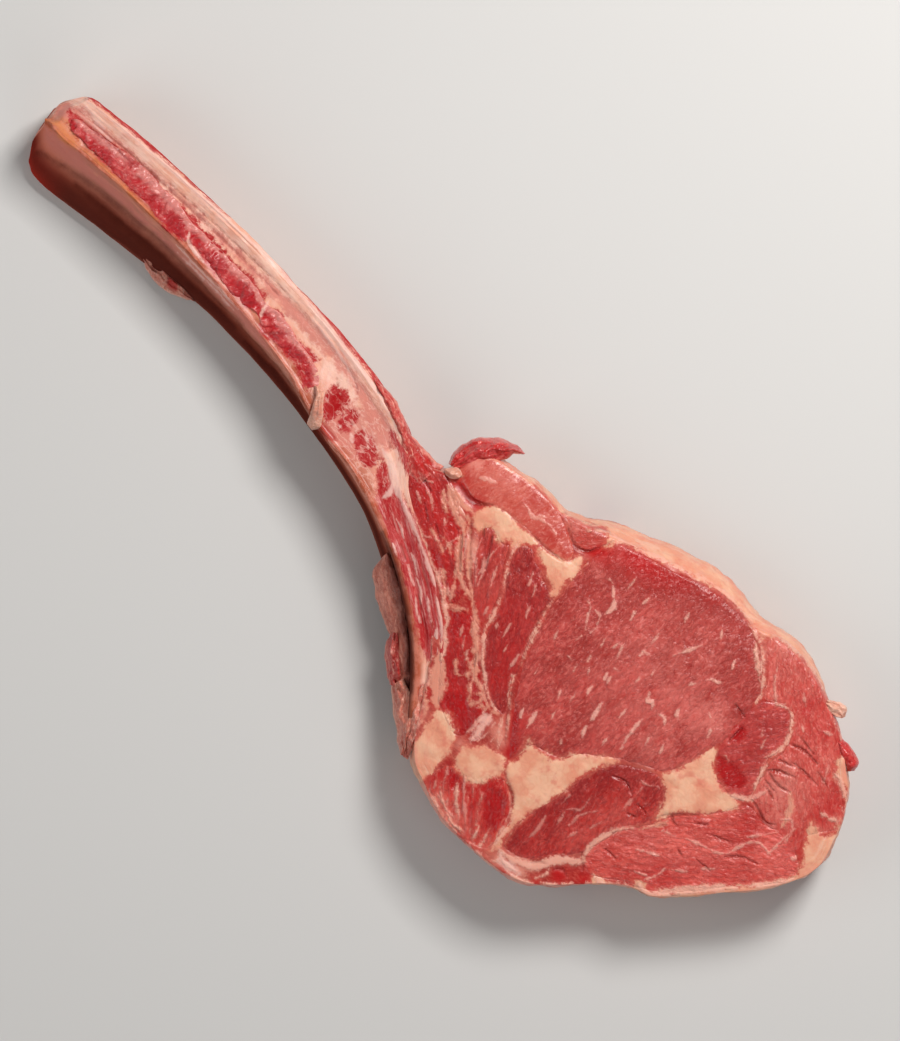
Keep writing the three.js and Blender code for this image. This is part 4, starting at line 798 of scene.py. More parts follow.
# An outline moved outwards along its normals.
def grownLoop(outline, grow, count=160):
    loop = smoothLine(outline, count, closed=True)
    run = np.roll(loop, -1, 0) - np.roll(loop, 1, 0)
    normal = np.stack([run[:, 1], -run[:, 0]], -1) / np.hypot(*run.T)[:, None]
    area = (loop[:, 0] * np.roll(loop[:, 1], -1) - loop[:, 1] * np.roll(loop[:, 0], -1)).sum()
    return loop + grow * np.sign(area) * normal


# An outline parted at its two tips into two rails of equal count, both running from the first tip to the second.
def rails(loop, tips, count):
    start, far = (np.hypot(*(loop - tip).T).argmin() for tip in np.asarray(tips, float))
    turned = np.roll(loop, -start, 0)
    far = (far - start) % len(loop)
    first, second = turned[:far + 1], np.vstack([turned[far:], turned[:1]])[::-1]
    return smoothLine(first, count), smoothLine(second, count)


# A muscle: its upper face is a sheet between two rails, lifted by the face's height, a bulge that grows with the
# distance from its border, fibre ridges and the marks; it dives at the border, and a wall leads to a flat underside.
def makeMuscle(name, part):
    loop = grownLoop(part["outline"], seat["grow"])
    first, second = rails(loop, part["tips"], part["rows"] + 2)
    first, second = first[1:-1, None], second[1:-1, None]
    even = np.linspace(0, 1, part["columns"])
    across = (0.65 * even + 0.35 * (0.5 - 0.5 * np.cos(np.pi * even)))[None, :, None]
    plan = first + (second - first) * across
    x, y = plan[..., 0], plan[..., 1]
    depth = -outlineField(x, y, loop)
    marks = faceMarks(x, y)
    ridges = fibreNoise(x, y, part["look"]["fibre"], 1.7, 5, 11, 3) + 0.9 * cloudNoise(x, y, 0, 6, 23, 3)
    top = faceHeight(x, y) + part["bulge"] * (1 - np.exp(-depth / 9)) + part["ridge"] * ridges + markRelief(marks)
    top = top - seat["sink"] * (1 - ease(depth, 0, seat["reach"]))
    under = seat["underside"] + 0.5 * (1 - ease(depth, 0, 1.2))
    coarse = slice(None, None, -3)
    fall = np.linspace(0, 1, seat["wallRows"] + 2)[None, 1:-1]
    downX, downZ = np.broadcast_to(x[:, -1:], (len(x), fall.size)), top[:, -1:] * (1 - fall) + under[:, -1:] * fall
    upX, upZ = np.broadcast_to(x[:, :1], (len(x), fall.size)), under[:, :1] * (1 - fall) + top[:, :1] * fall
    downY, upY = np.broadcast_to(y[:, -1:], downX.shape), np.broadcast_to(y[:, :1], upX.shape)
    ringX = np.hstack([x, downX, x[:, coarse], upX])
    ringY = np.hstack([y, downY, y[:, coarse], upY])
    ringZ = np.hstack([top, downZ, under[:, coarse], upZ])
    rings = np.stack([ringX, ringY, ringZ], -1)
    values = {}
    for label, field in marks.items():
        down = np.broadcast_to(field[:, -1:], downX.shape)
        values[label] = np.hstack([field, down, field[:, coarse], np.broadcast_to(field[:, :1], upX.shape)])
    poles = [[*np.mean(ring[:, :2], 0), 17] for ring in (rings[0], rings[-1])]
    skinPiece(name, rings, poles, values, leanMaterial(name + "Lean", part["look"]), [part["node"]])


for name, part in muscles.items():
    makeMuscle(name, part)
print("muscles ready")


# ---------- fat: the cap, the seams between the muscles and the side of the slice ----------

# Red lumps low on the side wall, by their place along the outline (x, y, radius).
wallLumps = [(134, -84, 6), (147, -79, 5), (156, -71, 6), (165, -63, 6), (118, -86, 9), (104, -85, 8), (90, -81, 7), (218, 60, 5), (225, 55, 4),
             (233, 40, 6), (238, -3, 6), (230, -15, 6), (219, -29, 6), (207, -41, 5), (68, 70, 8), (60, 66, 6), (76, -76, 4), (-8, 40, 8), (0, 46, 5)]


# The fat piece: loops that follow the slice's outline, from the middle of the underside out, up the side wall and
# in again over the upper face, where it lies under the muscles and comes up between them.
def makeFat():
    shape = sliceShape
    loop = smoothLine(sliceOutline, shape["around"], closed=True)
    run = np.roll(loop, -1, 0) - np.roll(loop, 1, 0)
    outward = np.stack([-run[:, 1], run[:, 0]], -1) / np.hypot(run[:, 0], run[:, 1])[:, None]
    plan, inset = loop[:, :2], loop[:, 2:]
    centre = np.array(shape["centre"], float)
    rows = []
    foot = plan - outward * 3.4
    for share in np.linspace(0.12, 1, shape["underRows"]) ** 0.7:
        rows.append(np.hstack([centre + (foot - centre) * share, np.full((len(loop), 1), 0.3)]))
    for inwards, height in [(2.6, 0.5), (1.7, 1.3), (1.1, 2.4), (0.6, 4), (0.3, 6.2), (0.1, 8.6), (0, 11), (0, 13.2)]:
        rows.append(np.hstack([plan - outward * inwards, np.full((len(loop), 1), height)]))
    edge = shape["edge"]
    for inwards in [0, 0.04, 0.09, 0.15, 0.22, 0.3, 0.39, 0.48, 0.57, 0.66, 0.75, 0.84, 0.92, 1, 1.08, 1.16, 1.25, 1.35]:
        drop = np.interp(inwards, shape["shares"], shape["drops"])
        rows.append(np.hstack([plan - outward * inset * inwards, np.full((len(loop), 1), edge - drop)]))
    wallRows = len(rows)
    rim = rows[-1][:, :2]
    for share in 1 - np.linspace(0, 0.94, shape["faceRows"] + 1)[1:] ** 1.35:
        rows.append(np.hstack([centre + (rim - centre) * share, np.full((len(loop), 1), edge)]))
    rings = np.array(rows)
    x, y, z = np.moveaxis(rings, -1, 0)
    marks = faceMarks(x, y)
    inMuscle = np.full(x.shape, farOff)
    for part in muscles.values():
        inMuscle = np.minimum(inMuscle, outlineField(x, y, grownLoop(part["outline"], 0, 70)))
    level = np.arange(len(rings))[:, None]
    height = faceHeight(x, y) + markRelief(marks) + 0.3 * cloudNoise(x, y, 0, 5, 41, 3)
    height = height - 1.3 * ease(-inMuscle, 0.8, 2.6)
    wall = np.broadcast_to(ease(z, 0.5, 4) * (1 - ease(level, wallRows - 6, wallRows)), x.shape)
    lumps = 0.7 * cloudNoise(x, y, z * 0.6, 9, 51, 3) + 0.3 * cloudNoise(x, y, z * 2.5, 3, 61, 2)
    rings[..., :2] += (np.broadcast_to(outward, (*x.shape, 2)) * (wall * (lumps - 0.5))[..., None])
    rings[..., 2] = np.where(level >= wallRows - 5, height, z)
    along = np.broadcast_to(lengthAlong(np.vstack([loop, loop[:1]]))[:-1], x.shape)
    reddish = spotField(x, y, [(*lump, 1.0) for lump in wallLumps])
    values = {**marks, "wall": wall, "along": along, "up": np.broadcast_to(rings[..., 2], x.shape), "reddish": reddish}
    skinPiece("fatAndSilverskin", rings, [[*centre, 0.3], [*centre, edge]], values, fatMaterial(), ["fat_and_silverskin"])


def fatMaterial():
    material, desk = newMaterial("fatAndSilverskin")
    place = objectPlace(desk)
    fat = useGroup(desk, fatGrain, {"Place": place, "Cell": 0.3, **fatTones})
    lean = useGroup(desk, leanGrain, {"Place": place, "Lean": tint(180, 50, 44), "Deep": tint(146, 32, 28),
                                      "Pale": tint(210, 104, 88), "Streak": 0.4})
    # on the side wall: layers drawn out along the outline, pink between cream, redder where lumps of lean lie
    depth = desk.math("SUBTRACT", desk.attribute("up"), desk.math("MULTIPLY", desk.attribute("edge"), 1.2))
    layers = desk.add("ShaderNodeCombineXYZ", {0: desk.math("MULTIPLY", desk.attribute("along"), 0.035),
                                               1: desk.math("MULTIPLY", depth, 0.36)})
    streaks = desk.noise(desk.bent(layers.outputs[0], 0.9, 0.5), 1, 4, 0.65)
    cap = desk.mix(desk.math("MULTIPLY", desk.step(streaks, 0.5, 0.62), 0.6), fat["Color"], tint(220, 136, 118))
    cap = desk.mix(desk.math("MULTIPLY", desk.step(streaks, 0.46, 0.38), 0.6), cap, tint(228, 178, 156))
    cap = desk.mix(desk.step(desk.attribute("edge"), 11.0, 6.0), fat["Color"], cap)
    redness = desk.math("ADD", streaks, desk.math("MULTIPLY", desk.attribute("reddish"), 0.3))
    wallColour = desk.mix(desk.step(redness, 0.5, 0.62), fat["Color"], tint(220, 130, 110))
    wallColour = desk.mix(desk.step(redness, 0.64, 0.74), wallColour, lean["Color"])
    wallColour = desk.mix(desk.math("MULTIPLY", desk.step(streaks, 0.42, 0.34), 0.7), wallColour, tint(244, 204, 180))
    ground = desk.mix(desk.attribute("wall"), lean["Color"], wallColour)
    marks = useGroup(desk, cutMarks, {
        "Ground": ground, "Fat Color": cap, "Deep Color": tint(150, 40, 36), "Pale Color": tint(226, 150, 130),
        "Red Color": tint(184, 22, 22), "Warp": lean["Warp"], "Marbling": 0.6,
        **{label: desk.attribute(name) for label, name in markSockets.items()}})
    # low on the wall only its own layers show, and both cut faces show their marks
    marked = desk.math("MAXIMUM", desk.step(desk.attribute("up"), 12.0, 20.0), desk.math("SUBTRACT", 1.0, desk.attribute("wall")))
    colour = desk.mix(marked, ground, marks["Color"])
    height = desk.math("ADD", desk.math("ADD", fat["Height"], marks["Height"]), desk.math("MULTIPLY", streaks, 1.4))
    shine = desk.math("ADD", 0.42, desk.math("MULTIPLY", lean["Warp"], 0.3))
    wetShader(desk, colour, shine, height, {"bump": 0.5, "bumpDepth": 0.6, "coat": 0.12, "gloss": 0.25, "soft": 0.18})
    return material


makeFat()
print("fat ready")


# ---------- the rib ----------

# Along the rib's upper edge: x, y, then across it the foot, inner rim, outer rim and outer face, and the height.
ribCourse = [
    (-240.6, 52.8, -23.4, -9.2, 9.6, 11.6, 34), (-238, 53, -28, -9.8, 10.4, 12.4, 34.4), (-233, 53.3, -31, -10.2, 10.6, 12.8, 34.6),
    (-222, 53.5, -32, -10.5, 10.6, 13, 34.7), (-195, 53.5, -30.4, -10.5, 10.6, 13.3, 35), (-165, 52, -27.9, -11, 11.2, 13.4, 35),
    (-135, 49.5, -24, -12, 12, 14, 35), (-105, 45, -22.2, -12.5, 13, 15, 35), (-80, 40, -21, -13.5, 14, 17, 35.5),
    (-55, 32, -18.6, -15, 16, 19.8, 35.8), (-32, 23, -16, -11, 16.4, 20, 36.2), (-12, 13, -13.5, -8.5, 9, 11.6, 36.8),
    (8, 1.5, -13.4, -7.5, 7, 8.4, 37), (25, -10.5, -14, -7.5, 6.5, 8, 37), (41, -24, -14.6, -7.5, 6.6, 8, 36.7),
    (53.5, -39, -15, -7, 6, 7.4, 36), (61, -52, -12, -5.5, 4.5, 6, 34.6), (66, -63, -7, -3, 3, 4, 30),
]
ribShape = {"stations": 700, "points": 134}
ribLines = {
    "white": [
        # the first line runs along the outer rim's crest and is a painted highlight; the others are pale membrane and
        # tissue
        (1.5, [(-233, 63), (-222, 63.6), (-200, 63.7), (-180, 63.4), (-160, 62.8), (-140, 62), (-120, 61.2), (-105, 58.6), (-90, 56.2)]),
        (2.4, [(-108, 58.8), (-90, 56), (-75, 52.6), (-60, 49.4), (-50, 47), (-43, 45), (-35, 42), (-28, 39.6), (-20, 36), (-12, 33)]),
        (1.0, [(-232, 56.2), (-222, 56.6), (-212, 56.4)]), (1.2, [(-231, 61), (-224, 60.2), (-216, 60.6)]), (1.0, [(-226, 59), (-218, 58.6)]),
        (1.0, [(-92, 53.2), (-78, 50), (-64, 46), (-57, 42)]), (1.0, [(-76, 44.6), (-73.4, 38.4), (-70, 34)]), (0.9, [(-71, 43), (-69, 37), (-66, 33)]),
        (0.9, [(-66.4, 44), (-62.4, 39)]), (0.8, [(-64, 45), (-59, 39.6)]), (1.0, [(-55, 24), (-47, 24.4)]), (1.6, [(-46, 25.4), (-42, 22)]),
        (0.8, [(-45, 32), (-39, 28), (-33, 23)]), (1.3, [(-159, 47.4), (-157, 44), (-152, 42.4), (-146, 41.6)]), (1.4, [(-112, 47), (-111, 41), (-109, 37)]),
        (1.0, [(-160, 39.4), (-140, 37.2), (-120, 34.8)]), (0.8, [(-158, 36.8), (-136, 34.8), (-122, 33)]),
        (3.6, [(-30, 28.6), (-24, 26.6), (-18, 22), (-13, 18.6), (-8, 16.4)]), (2.4, [(-17, 20), (-15, 16), (-16, 12)]),
        (1.8, [(-12, 18), (-2, 13.6), (6, 9.4), (12, 6)]), (1.8, [(10, 7), (18, 2.6), (25, -1.4), (31, -5)]),
        (1.6, [(30, -6), (36, -10.4), (41, -15), (46, -21)]), (0.8, [(-5, 8.4), (-1, 7), (3, 4)]), (0.9, [(10, 1), (14, -1), (18, -4.6)]),
        (1.1, [(19, -6), (24, -9), (28, -13.4)]), (0.9, [(12, -4), (17, -7.6), (20, -9)]), (1.1, [(28, -9), (32, -13), (37, -17)]),
        (1.3, [(40, -17), (44, -21.6), (48, -26)]), (0.8, [(24, -13), (29, -17.6), (33, -20)]), (0.8, [(1, -1), (6, -4)]),
    ],
    # creases: sunk lines, painted dark as painted shade
    "crease": [
        (1.1, [(-234, 57.4), (-218, 57.5), (-200, 57.5), (-190, 57), (-170, 56), (-150, 55), (-140, 54.4), (-125, 53), (-110, 51.6)]),
        (0.8, [(-230, 54.6), (-215, 55), (-198, 54.6)]), (0.7, [(-180, 58.6), (-150, 57.4), (-120, 55.8), (-100, 53.6)]),
        (1.2, [(-104.6, 33.6), (-100, 38), (-96, 40)]), (1.0, [(-31, 33.4), (-27, 31)]), (0.8, [(-70, 47.8), (-60, 44.6), (-54, 40)]),
        (1.0, [(-24, 26), (-18, 19)]), (0.9, [(-125, 45), (-122, 40)]), (0.9, [(-141, 47), (-139, 42)]), (0.8, [(-176, 52), (-173, 46)]),
        (0.8, [(-66, 40), (-62, 36)]), (0.8, [(-88, 36), (-84, 38)]), (0.8, [(-50, 30), (-44, 26)]), (0.8, [(4, 1), (10, -3)]), (0.8, [(24, -11), (30, -16)]), (0.9, [(14, 2), (20, -2), (26, -6)]),
    ],
    "orange": [
        (3.0, [(-241, 45.6), (-236, 46.6), (-230, 46), (-222, 45.2)]), (1.1, [(-226, 45.6), (-214, 45.2), (-205, 45), (-196, 44.2), (-186, 43.4), (-174, 42.2)]),
        (2.4, [(-237, 49.6), (-232, 50.4), (-227, 48.6), (-222, 46.6)]), (2.0, [(-234, 44), (-229, 43.4), (-222, 44)]),
    ],
    "shade": [
        (1.6, [(-237, 31.4), (-230, 32.8), (-220, 34.4), (-210, 35.6), (-195, 36), (-180, 36), (-165, 35.4), (-150, 34), (-135, 32.4), (-115, 30.4)]),
        (3.4, [(-214, 31), (-200, 30.6), (-180, 31), (-160, 30.6), (-140, 29.4), (-118, 27.6)]), (1.2, [(-118, 30), (-100, 27.6), (-80, 24), (-64, 19.6)]),
        (3.0, [(-110, 25.4), (-90, 23.4), (-70, 19.6), (-50, 14)]), 
        (5.4, [(-6, -0.4), (4, -5.8), (14, -12.6), (26, -22.4), (36, -31.8), (46, -42), (50, -47)]),
    ],
}
ribPatches = {
    "red": [
        [(-238, 64.4), (-222, 64.9), (-200, 65), (-178, 64.6), (-160, 63.9), (-150, 64), (-160, 66), (-180, 68), (-205, 69), (-230, 68)],
        [(-120, 61.8), (-108, 60), (-95, 57.6), (-84, 55.6), (-76, 53.6), (-66, 52), (-54, 49.6), (-46, 48), (-38, 45), (-30, 42), (-20, 38.6),
         (-12, 35), (-8, 42), (-20, 46), (-40, 54), (-60, 57), (-80, 60), (-100, 64)],
        [(-236, 55), (-226, 55.6), (-212, 56), (-198, 56.4), (-184, 55.4), (-168, 54.2), (-152, 52.6), (-140, 51.4), (-128, 49.6), (-116, 48.4),
         (-113, 42), (-116, 38), (-124, 38.6), (-134, 40), (-148, 42.6), (-156, 46.4), (-160, 42), (-168, 41.6), (-176, 43.6), (-190, 45.6),
         (-204, 46.6), (-220, 47.4), (-230, 49)],
        [(-109, 45), (-104, 46), (-96, 43.6), (-86, 42), (-79, 41), (-77, 36), (-72, 30), (-71.6, 27), (-77, 27.4), (-82, 31), (-88, 33),
         (-96, 33.4), (-105, 34), (-110, 38)],
        [(-65, 36), (-60, 38.6), (-56, 36), (-54.6, 29), (-57, 21), (-62, 24), (-65, 30)],
        [(-53, 32), (-48, 33), (-45.6, 29), (-46.6, 23.4), (-50, 21.6), (-53.6, 24.4)],
        [(-43, 30), (-38, 29), (-30.4, 24.6), (-28.4, 20), (-34, 18.8), (-41, 21.4), (-43.6, 25)],
        [(-28, 23), (-24, 25), (-17, 20), (-8, 18), (2, 14), (14, 7), (26, 0), (36, -7), (46, -17), (53, -27), (50, -30), (46, -31), (36, -25.6),
         (24, -16), (10, -7), (-4, 1), (-13, 6), (-19, 11)],
        [(-32, 35), (-24, 32), (-16, 28), (-10, 27), (-6, 34), (-14, 33), (-24, 36.4), (-31, 38)],
    ],
    "pink": [
        [(-95, 52), (-80, 51), (-66, 48.6), (-52, 44.6), (-44, 42), (-48, 38), (-62, 43), (-78, 47), (-94, 49)],
        [(-242, 57), (-242, 50), (-236, 49), (-229, 51), (-229, 56), (-236, 58)],
        [(-238, 56), (-228, 49.4), (-200, 56), (-170, 54.6), (-130, 51.6), (-100, 47), (-74, 44), (-60, 42), (-50, 36), (-54, 43), (-70, 47.6),
         (-90, 51.6), (-120, 54), (-160, 57), (-200, 58.6), (-234, 59)],
        [(-240, 42), (-226, 42.6), (-200, 41.4), (-170, 39), (-130, 36.6), (-100, 32), (-104, 28.6), (-140, 33), (-180, 36.6), (-220, 36), (-238, 34)],
        [(-50, 33), (-38, 31), (-28, 28), (-30, 33), (-40, 37), (-48, 38)], [(-57, 35), (-45, 33.6), (-34, 29.6), (-28, 24), (-29, 18), (-44, 17), (-57, 19)],
        [(-58, 45), (-46, 43), (-34, 39), (-27, 35), (-30, 31), (-44, 35), (-56, 40)],
    ],
    "blood": [
        [(-104, 33), (-100, 38), (-96, 39.4), (-98, 35)], [(-96, 34), (-93, 38), (-84, 39), (-83, 34.4), (-90, 33.4)],
        [(-62, 33.6), (-57.6, 35), (-57, 28), (-58, 22), (-62, 26)], [(-60, 19.6), (-54, 20.4), (-49, 18), (-52, 15.4), (-58, 16.4)],
        [(-202, 56), (-197, 56.4), (-197.4, 53), (-200.6, 53)], [(-184, 51), (-179, 51.4), (-178, 48.4), (-182, 47.6)],
        [(-172, 49), (-166, 50), (-161, 46), (-162, 42), (-170, 43.4)], [(-146, 46.6), (-140, 48.6), (-134, 44), (-136, 41), (-144, 42.6)],
        [(-129, 45), (-124, 46.6), (-116, 42.6), (-117, 38.8), (-126, 39.4)], [(-80, 34.4), (-76, 34), (-72.6, 29), (-76, 28.2)],
        [(-24, 18), (-18, 14), (-14, 9.6), (-20, 12)],
        [(32, -18), (37, -20), (44, -27), (42, -28), (35, -23)], [(52, -40.6), (57, -43), (58, -47), (53, -45)],
        [(-214, 51), (-207, 51.6), (-205, 48.6), (-212, 48.2)],
    ],
}


# A closed Catmull-Rom section for all stations at once: control (stations, corners, 2) to (stations, count, 2).
def roundSections(control, count):
    padded = np.concatenate([control[:, -1:], control, control[:, :2]], 1)
    corners = control.shape[1]
    place = np.linspace(0, corners, count, endpoint=False)
    k = np.floor(place).astype(int)
    t = (place - k)[None, :, None]
    p0, p1, p2, p3 = (padded[:, k + step] for step in range(4))
    return 0.5 * (2 * p1 + (p2 - p0) * t + (2 * p0 - 5 * p1 + 4 * p2 - p3) * t ** 2
                  + (3 * p1 - p0 - 3 * p2 + p3) * t ** 3)


ribLine = smoothLine(ribCourse, ribShape["stations"])
ribRun = np.gradient(ribLine[:, :2], axis=0)
ribAcross = np.stack([-ribRun[:, 1], ribRun[:, 0]], -1) / np.hypot(*ribRun.T)[:, None]


def ribMarks(x, y):
    marks = {name: lineField(x, y, lines) for name, lines in ribLines.items()}
    marks.update({name: patchField(x, y, patches) for name, patches in ribPatches.items()})
    return marks


# The rib: a section with two rims, a shallow bed between them, a rounded outer side and a hollow inner side,
# carried along its course; its far end closes with a few shrinking sections.
def makeRib():
    foot, inner, outer, side, top = ribLine[:, 2:].T
    middle = (inner + outer) / 2
    none = 0 * top
    corners = [
        (outer - 0.4, top - 0.2), (outer + 1.2, top - 1.8), (side, top * 0.76), (side - 0.4, top * 0.48),
        (side - 2.6, top * 0.16), (outer - 6, 0.25 + none), ((foot + outer) / 2, none), (foot + 4, 0.2 + none),
        (foot, 2.6 + none), (foot + 0.5, 6.5 + none), (foot * 0.72 + inner * 0.28 + 0.8, top * 0.37),
        (foot * 0.4 + inner * 0.6 + 1.2, top * 0.66), (inner - 1, top - 3.4), (inner + 0.6, top - 0.5),
        (inner + 3, top - 1.5), (middle - 1, top - 2.2), (outer - 6.4, top - 1.9), (outer - 3, top - 0.7),
    ]
    control = np.stack([np.stack(corner, -1) for corner in corners], 1)
    section = roundSections(control, ribShape["points"])
    closing = [(0.3, 1.5), (0.6, 2.1), (0.82, 2.3), (0.94, 2.2)]  # share gone towards the middle, reach in mm
    core = np.stack([np.array([-9.5, 18.0])] * ribShape["points"])
    ends = [section[0] + (core - section[0]) * share for share, _ in closing[::-1]]
    section = np.concatenate([np.array(ends), section])
    base = np.concatenate([ribLine[:1, :2] - ribRun[0] / np.hypot(*ribRun[0]) * push for _, push in closing[::-1]] + [ribLine[:, :2]])
    sideways = np.concatenate([np.repeat(ribAcross[:1], len(closing), 0), ribAcross])
    reach, height = section[..., 0], section[..., 1]
    plan = base[:, None] + sideways[:, None] * reach[..., None]
    along = np.broadcast_to(np.concatenate([np.zeros(len(closing)), lengthAlong(ribLine)])[:, None], reach.shape)
    # the end isn't cut square: its outer corner is gone and its foot stands out
    corner = 6.5 * ease(reach, 0, 13) - 2.2 * ease(-np.abs(reach + 7.8), -2, 0) * ease(height, 26, 33) - 2.4 * ease(height, 26, 6)
    plan[..., 0] += corner * ease(along, 16, 0)
    height = height - 4.5 * ease(along, 5, 0) * ease(height, 18, 34)
    x, y = plan[..., 0], plan[..., 1]
    around = np.broadcast_to(np.linspace(0, 1, ribShape["points"], endpoint=False), x.shape)
    marks = ribMarks(x, y)
    folds = 0.3 * cloudNoise(along / 30, around * 30, 0, 1, 71, 3)  # membrane folds along the rib
    lift = (folds + 0.35 * cloudNoise(x, y, height, 9, 81, 3)) * ease(height, 1.5, 6)
    upper = ease(height, 22, 30)
    lift = lift + upper * (0.35 * ease(-marks["white"], -0.6, 0.6) - 0.4 * ease(-marks["crease"], -0.6, 0.5))
    lift = lift - 0.5 * upper * ease(-marks["blood"], -0.6, 1) + 0.5 * ease(-marks["orange"], -0.6, 0.8)
    lift = lift - 0.5 * ease(-marks["shade"], -0.6, 1.2)
    centre = base[:, None] + sideways[:, None] * np.concatenate([middle[:1]] * len(closing) + [middle])[:, None, None]
    out = np.concatenate([plan - centre, (height - 17)[..., None]], -1)
    out = out / np.maximum(np.linalg.norm(out, axis=-1, keepdims=True), 0.1)
    rings = np.concatenate([plan, np.maximum(height, 0.05)[..., None]], -1) + out * lift[..., None]
    rings[..., 2] = np.maximum(rings[..., 2], 0.05)
    ended = np.broadcast_to(np.concatenate([[share for share, _ in closing[::-1]], np.zeros(len(ribLine))])[:, None], x.shape)
    values = {"along": along, "around": around, "up": height, "ended": ended, **marks}
    tip = [*(rings[0, :, :2].mean(0)), 18]
    end = [*(rings[-1, :, :2].mean(0) + (1.4, -1.4)), 15]
    skinPiece("ribBone", rings, [tip, end], values, ribMaterial(), ["rib_bone"])


# The rib's skin: pinkish cream over the outer rim, tan and orange on the inner one, brown film down the hollow side,
# painted darker low down and near the meat as painted shade, red flesh, pink film, white folds and a painted highlight
# line, creases painted dark as painted shade, blood and painted shade by their marks, and cut bone at the far end.
def ribMaterial():
    material, desk = newMaterial("ribBone")
    place = objectPlace(desk)
    along, around, up = desk.attribute("along"), desk.attribute("around"), desk.attribute("up")
    # mm along and round the rib, so that its fibres follow its bend
    course = desk.add("ShaderNodeCombineXYZ", {0: along, 1: desk.math("MULTIPLY", around, 130.0)}).outputs[0]
    flow = desk.add("ShaderNodeCombineXYZ", {0: desk.math("MULTIPLY", along, 0.035), 1: desk.math("MULTIPLY", around, 26.0)})
    streaks = desk.noise(desk.bent(flow.outputs[0], 0.8, 0.7), 1, 3, 0.6)
    blotches = desk.noise(place, 0.12, 4, 0.65)
    fat = useGroup(desk, fatGrain, {"Place": place, "Cell": 0.2, "Cream": tint(240, 192, 174),
                                    "Peach": tint(232, 168, 144), "Joint": tint(214, 138, 122)})
    red = useGroup(desk, leanGrain, {"Place": course, "Lean": tint(190, 68, 68), "Deep": tint(164, 30, 34),
                                     "Pale": tint(210, 112, 106), "Streak": 0.4})
    warp = red["Warp"]

    def mask(name, ragged, soft, strength=1.0, limit=None):
        shifted = desk.math("ADD", desk.attribute(name), desk.math("MULTIPLY", warp, ragged))
        found = desk.math("MULTIPLY", desk.step(shifted, soft, -soft), strength)
        return desk.math("MULTIPLY", found, limit) if limit else found

    upper = desk.step(up, 19.0, 27.0)
    facing = desk.math("MULTIPLY", upper, desk.math("MAXIMUM", desk.step(around, 0.71, 0.76), desk.step(around, 0.1, 0.03)))
    colour = desk.mix(desk.math("MULTIPLY", desk.step(streaks, 0.52, 0.7), 0.4), fat["Color"], tint(216, 136, 120))
    colour = desk.mix(desk.math("MULTIPLY", desk.step(streaks, 0.45, 0.34), 0.5), colour, tint(246, 204, 186))
    # around runs from the outer rim down the outer side, under the foot, up the hollow side to the inner rim
    hollow = desk.math("MULTIPLY", desk.step(around, 0.4, 0.47), desk.step(around, 0.76, 0.69))
    # film down the hollow side with painted shade: darker low down, lighter again at its foot, darker near the meat
    # where the groove lies, and darker low down at the tip
    filmAndShade = desk.mix(desk.step(up, 9.0, 19.0), tint(92, 40, 32), tint(134, 62, 46))
    filmAndShade = desk.mix(desk.step(up, 14.0, 29.0), filmAndShade, tint(214, 140, 120))
    filmAndShade = desk.mix(desk.math("MULTIPLY", desk.step(streaks, 0.56, 0.4), 0.25), filmAndShade, tint(110, 44, 34))
    filmAndShade = desk.mix(desk.step(up, 7.0, 2.0), filmAndShade, tint(160, 92, 78))
    filmAndShade = desk.mix(desk.math("MULTIPLY", desk.step(along, 250.0, 275.0), 0.8), filmAndShade, tint(102, 46, 38))
    tipShadeTone = desk.mix(desk.step(up, 11.0, 24.0), tint(124, 40, 32), tint(214, 122, 100))
    filmAndShade = desk.mix(desk.math("MULTIPLY", desk.step(along, 32.0, 5.0), 0.8), filmAndShade, tipShadeTone)
    glow = desk.math("MULTIPLY", desk.step(along, 26.0, 4.0), desk.step(up, 11.0, 3.0))
    filmAndShade = desk.mix(desk.math("MULTIPLY", glow, 0.8), filmAndShade, tint(190, 54, 42))
    colour = desk.mix(hollow, colour, filmAndShade)
    tan = desk.mix(desk.step(blotches, 0.42, 0.58), tint(176, 90, 66), tint(200, 120, 100))
    innerRim = desk.math("MULTIPLY", desk.step(around, 0.67, 0.71), desk.step(around, 0.83, 0.77))
    colour = desk.mix(innerRim, colour, tan)
    colour = desk.mix(mask("pink", 5.0, 1.6, 0.85, upper), colour, tint(208, 126, 114))
    colour = desk.mix(mask("orange", 2.4, 1.4, 0.75, upper), colour, tint(214, 130, 80))
    squiggles = desk.noise(desk.bent(desk.stretched(course, (0.08, 0.42, 0.5)), 0.9, 0.8), 1, 3, 0.6)
    strands = desk.math("MULTIPLY", desk.step(squiggles, 0.55, 0.61), desk.step(along, 205.0, 250.0))
    flesh = desk.mix(desk.math("MULTIPLY", strands, 0.42), red["Color"], tint(230, 164, 154))
    # fine pale threads of membrane, like contour lines of a noise
    web = desk.noise(desk.bent(desk.stretched(course, (0.1, 0.24, 0.3)), 0.6, 1.2), 1, 3, 0.6)
    web = desk.step(desk.math("ABSOLUTE", desk.math("SUBTRACT", web, 0.5)), 0.035, 0.0)
    web = desk.math("MULTIPLY", web, desk.math("MULTIPLY", desk.step(along, 120.0, 175.0), desk.step(along, 250.0, 215.0)))
    colour = desk.mix(mask("red", 4.6, 1.0, 1.0, upper), colour, flesh)
    colour = desk.mix(desk.math("MULTIPLY", web, desk.math("MULTIPLY", upper, 0.45)), colour, tint(238, 192, 178))
    colour = desk.mix(mask("blood", 3.6, 1.4, 0.65), colour, tint(168, 18, 22))
    colour = desk.mix(mask("shade", 1.6, 2.2, 0.7), colour, tint(66, 22, 18))
    # creases painted dark: painted shade
    colour = desk.mix(mask("crease", 1.2, 0.6, 0.7, upper), colour, tint(150, 72, 64))
    # white: pale membrane and tissue, and a painted highlight line along the outer rim's crest
    colour = desk.mix(mask("white", 1.7, 0.6, 0.68, upper), colour, tint(238, 196, 184))
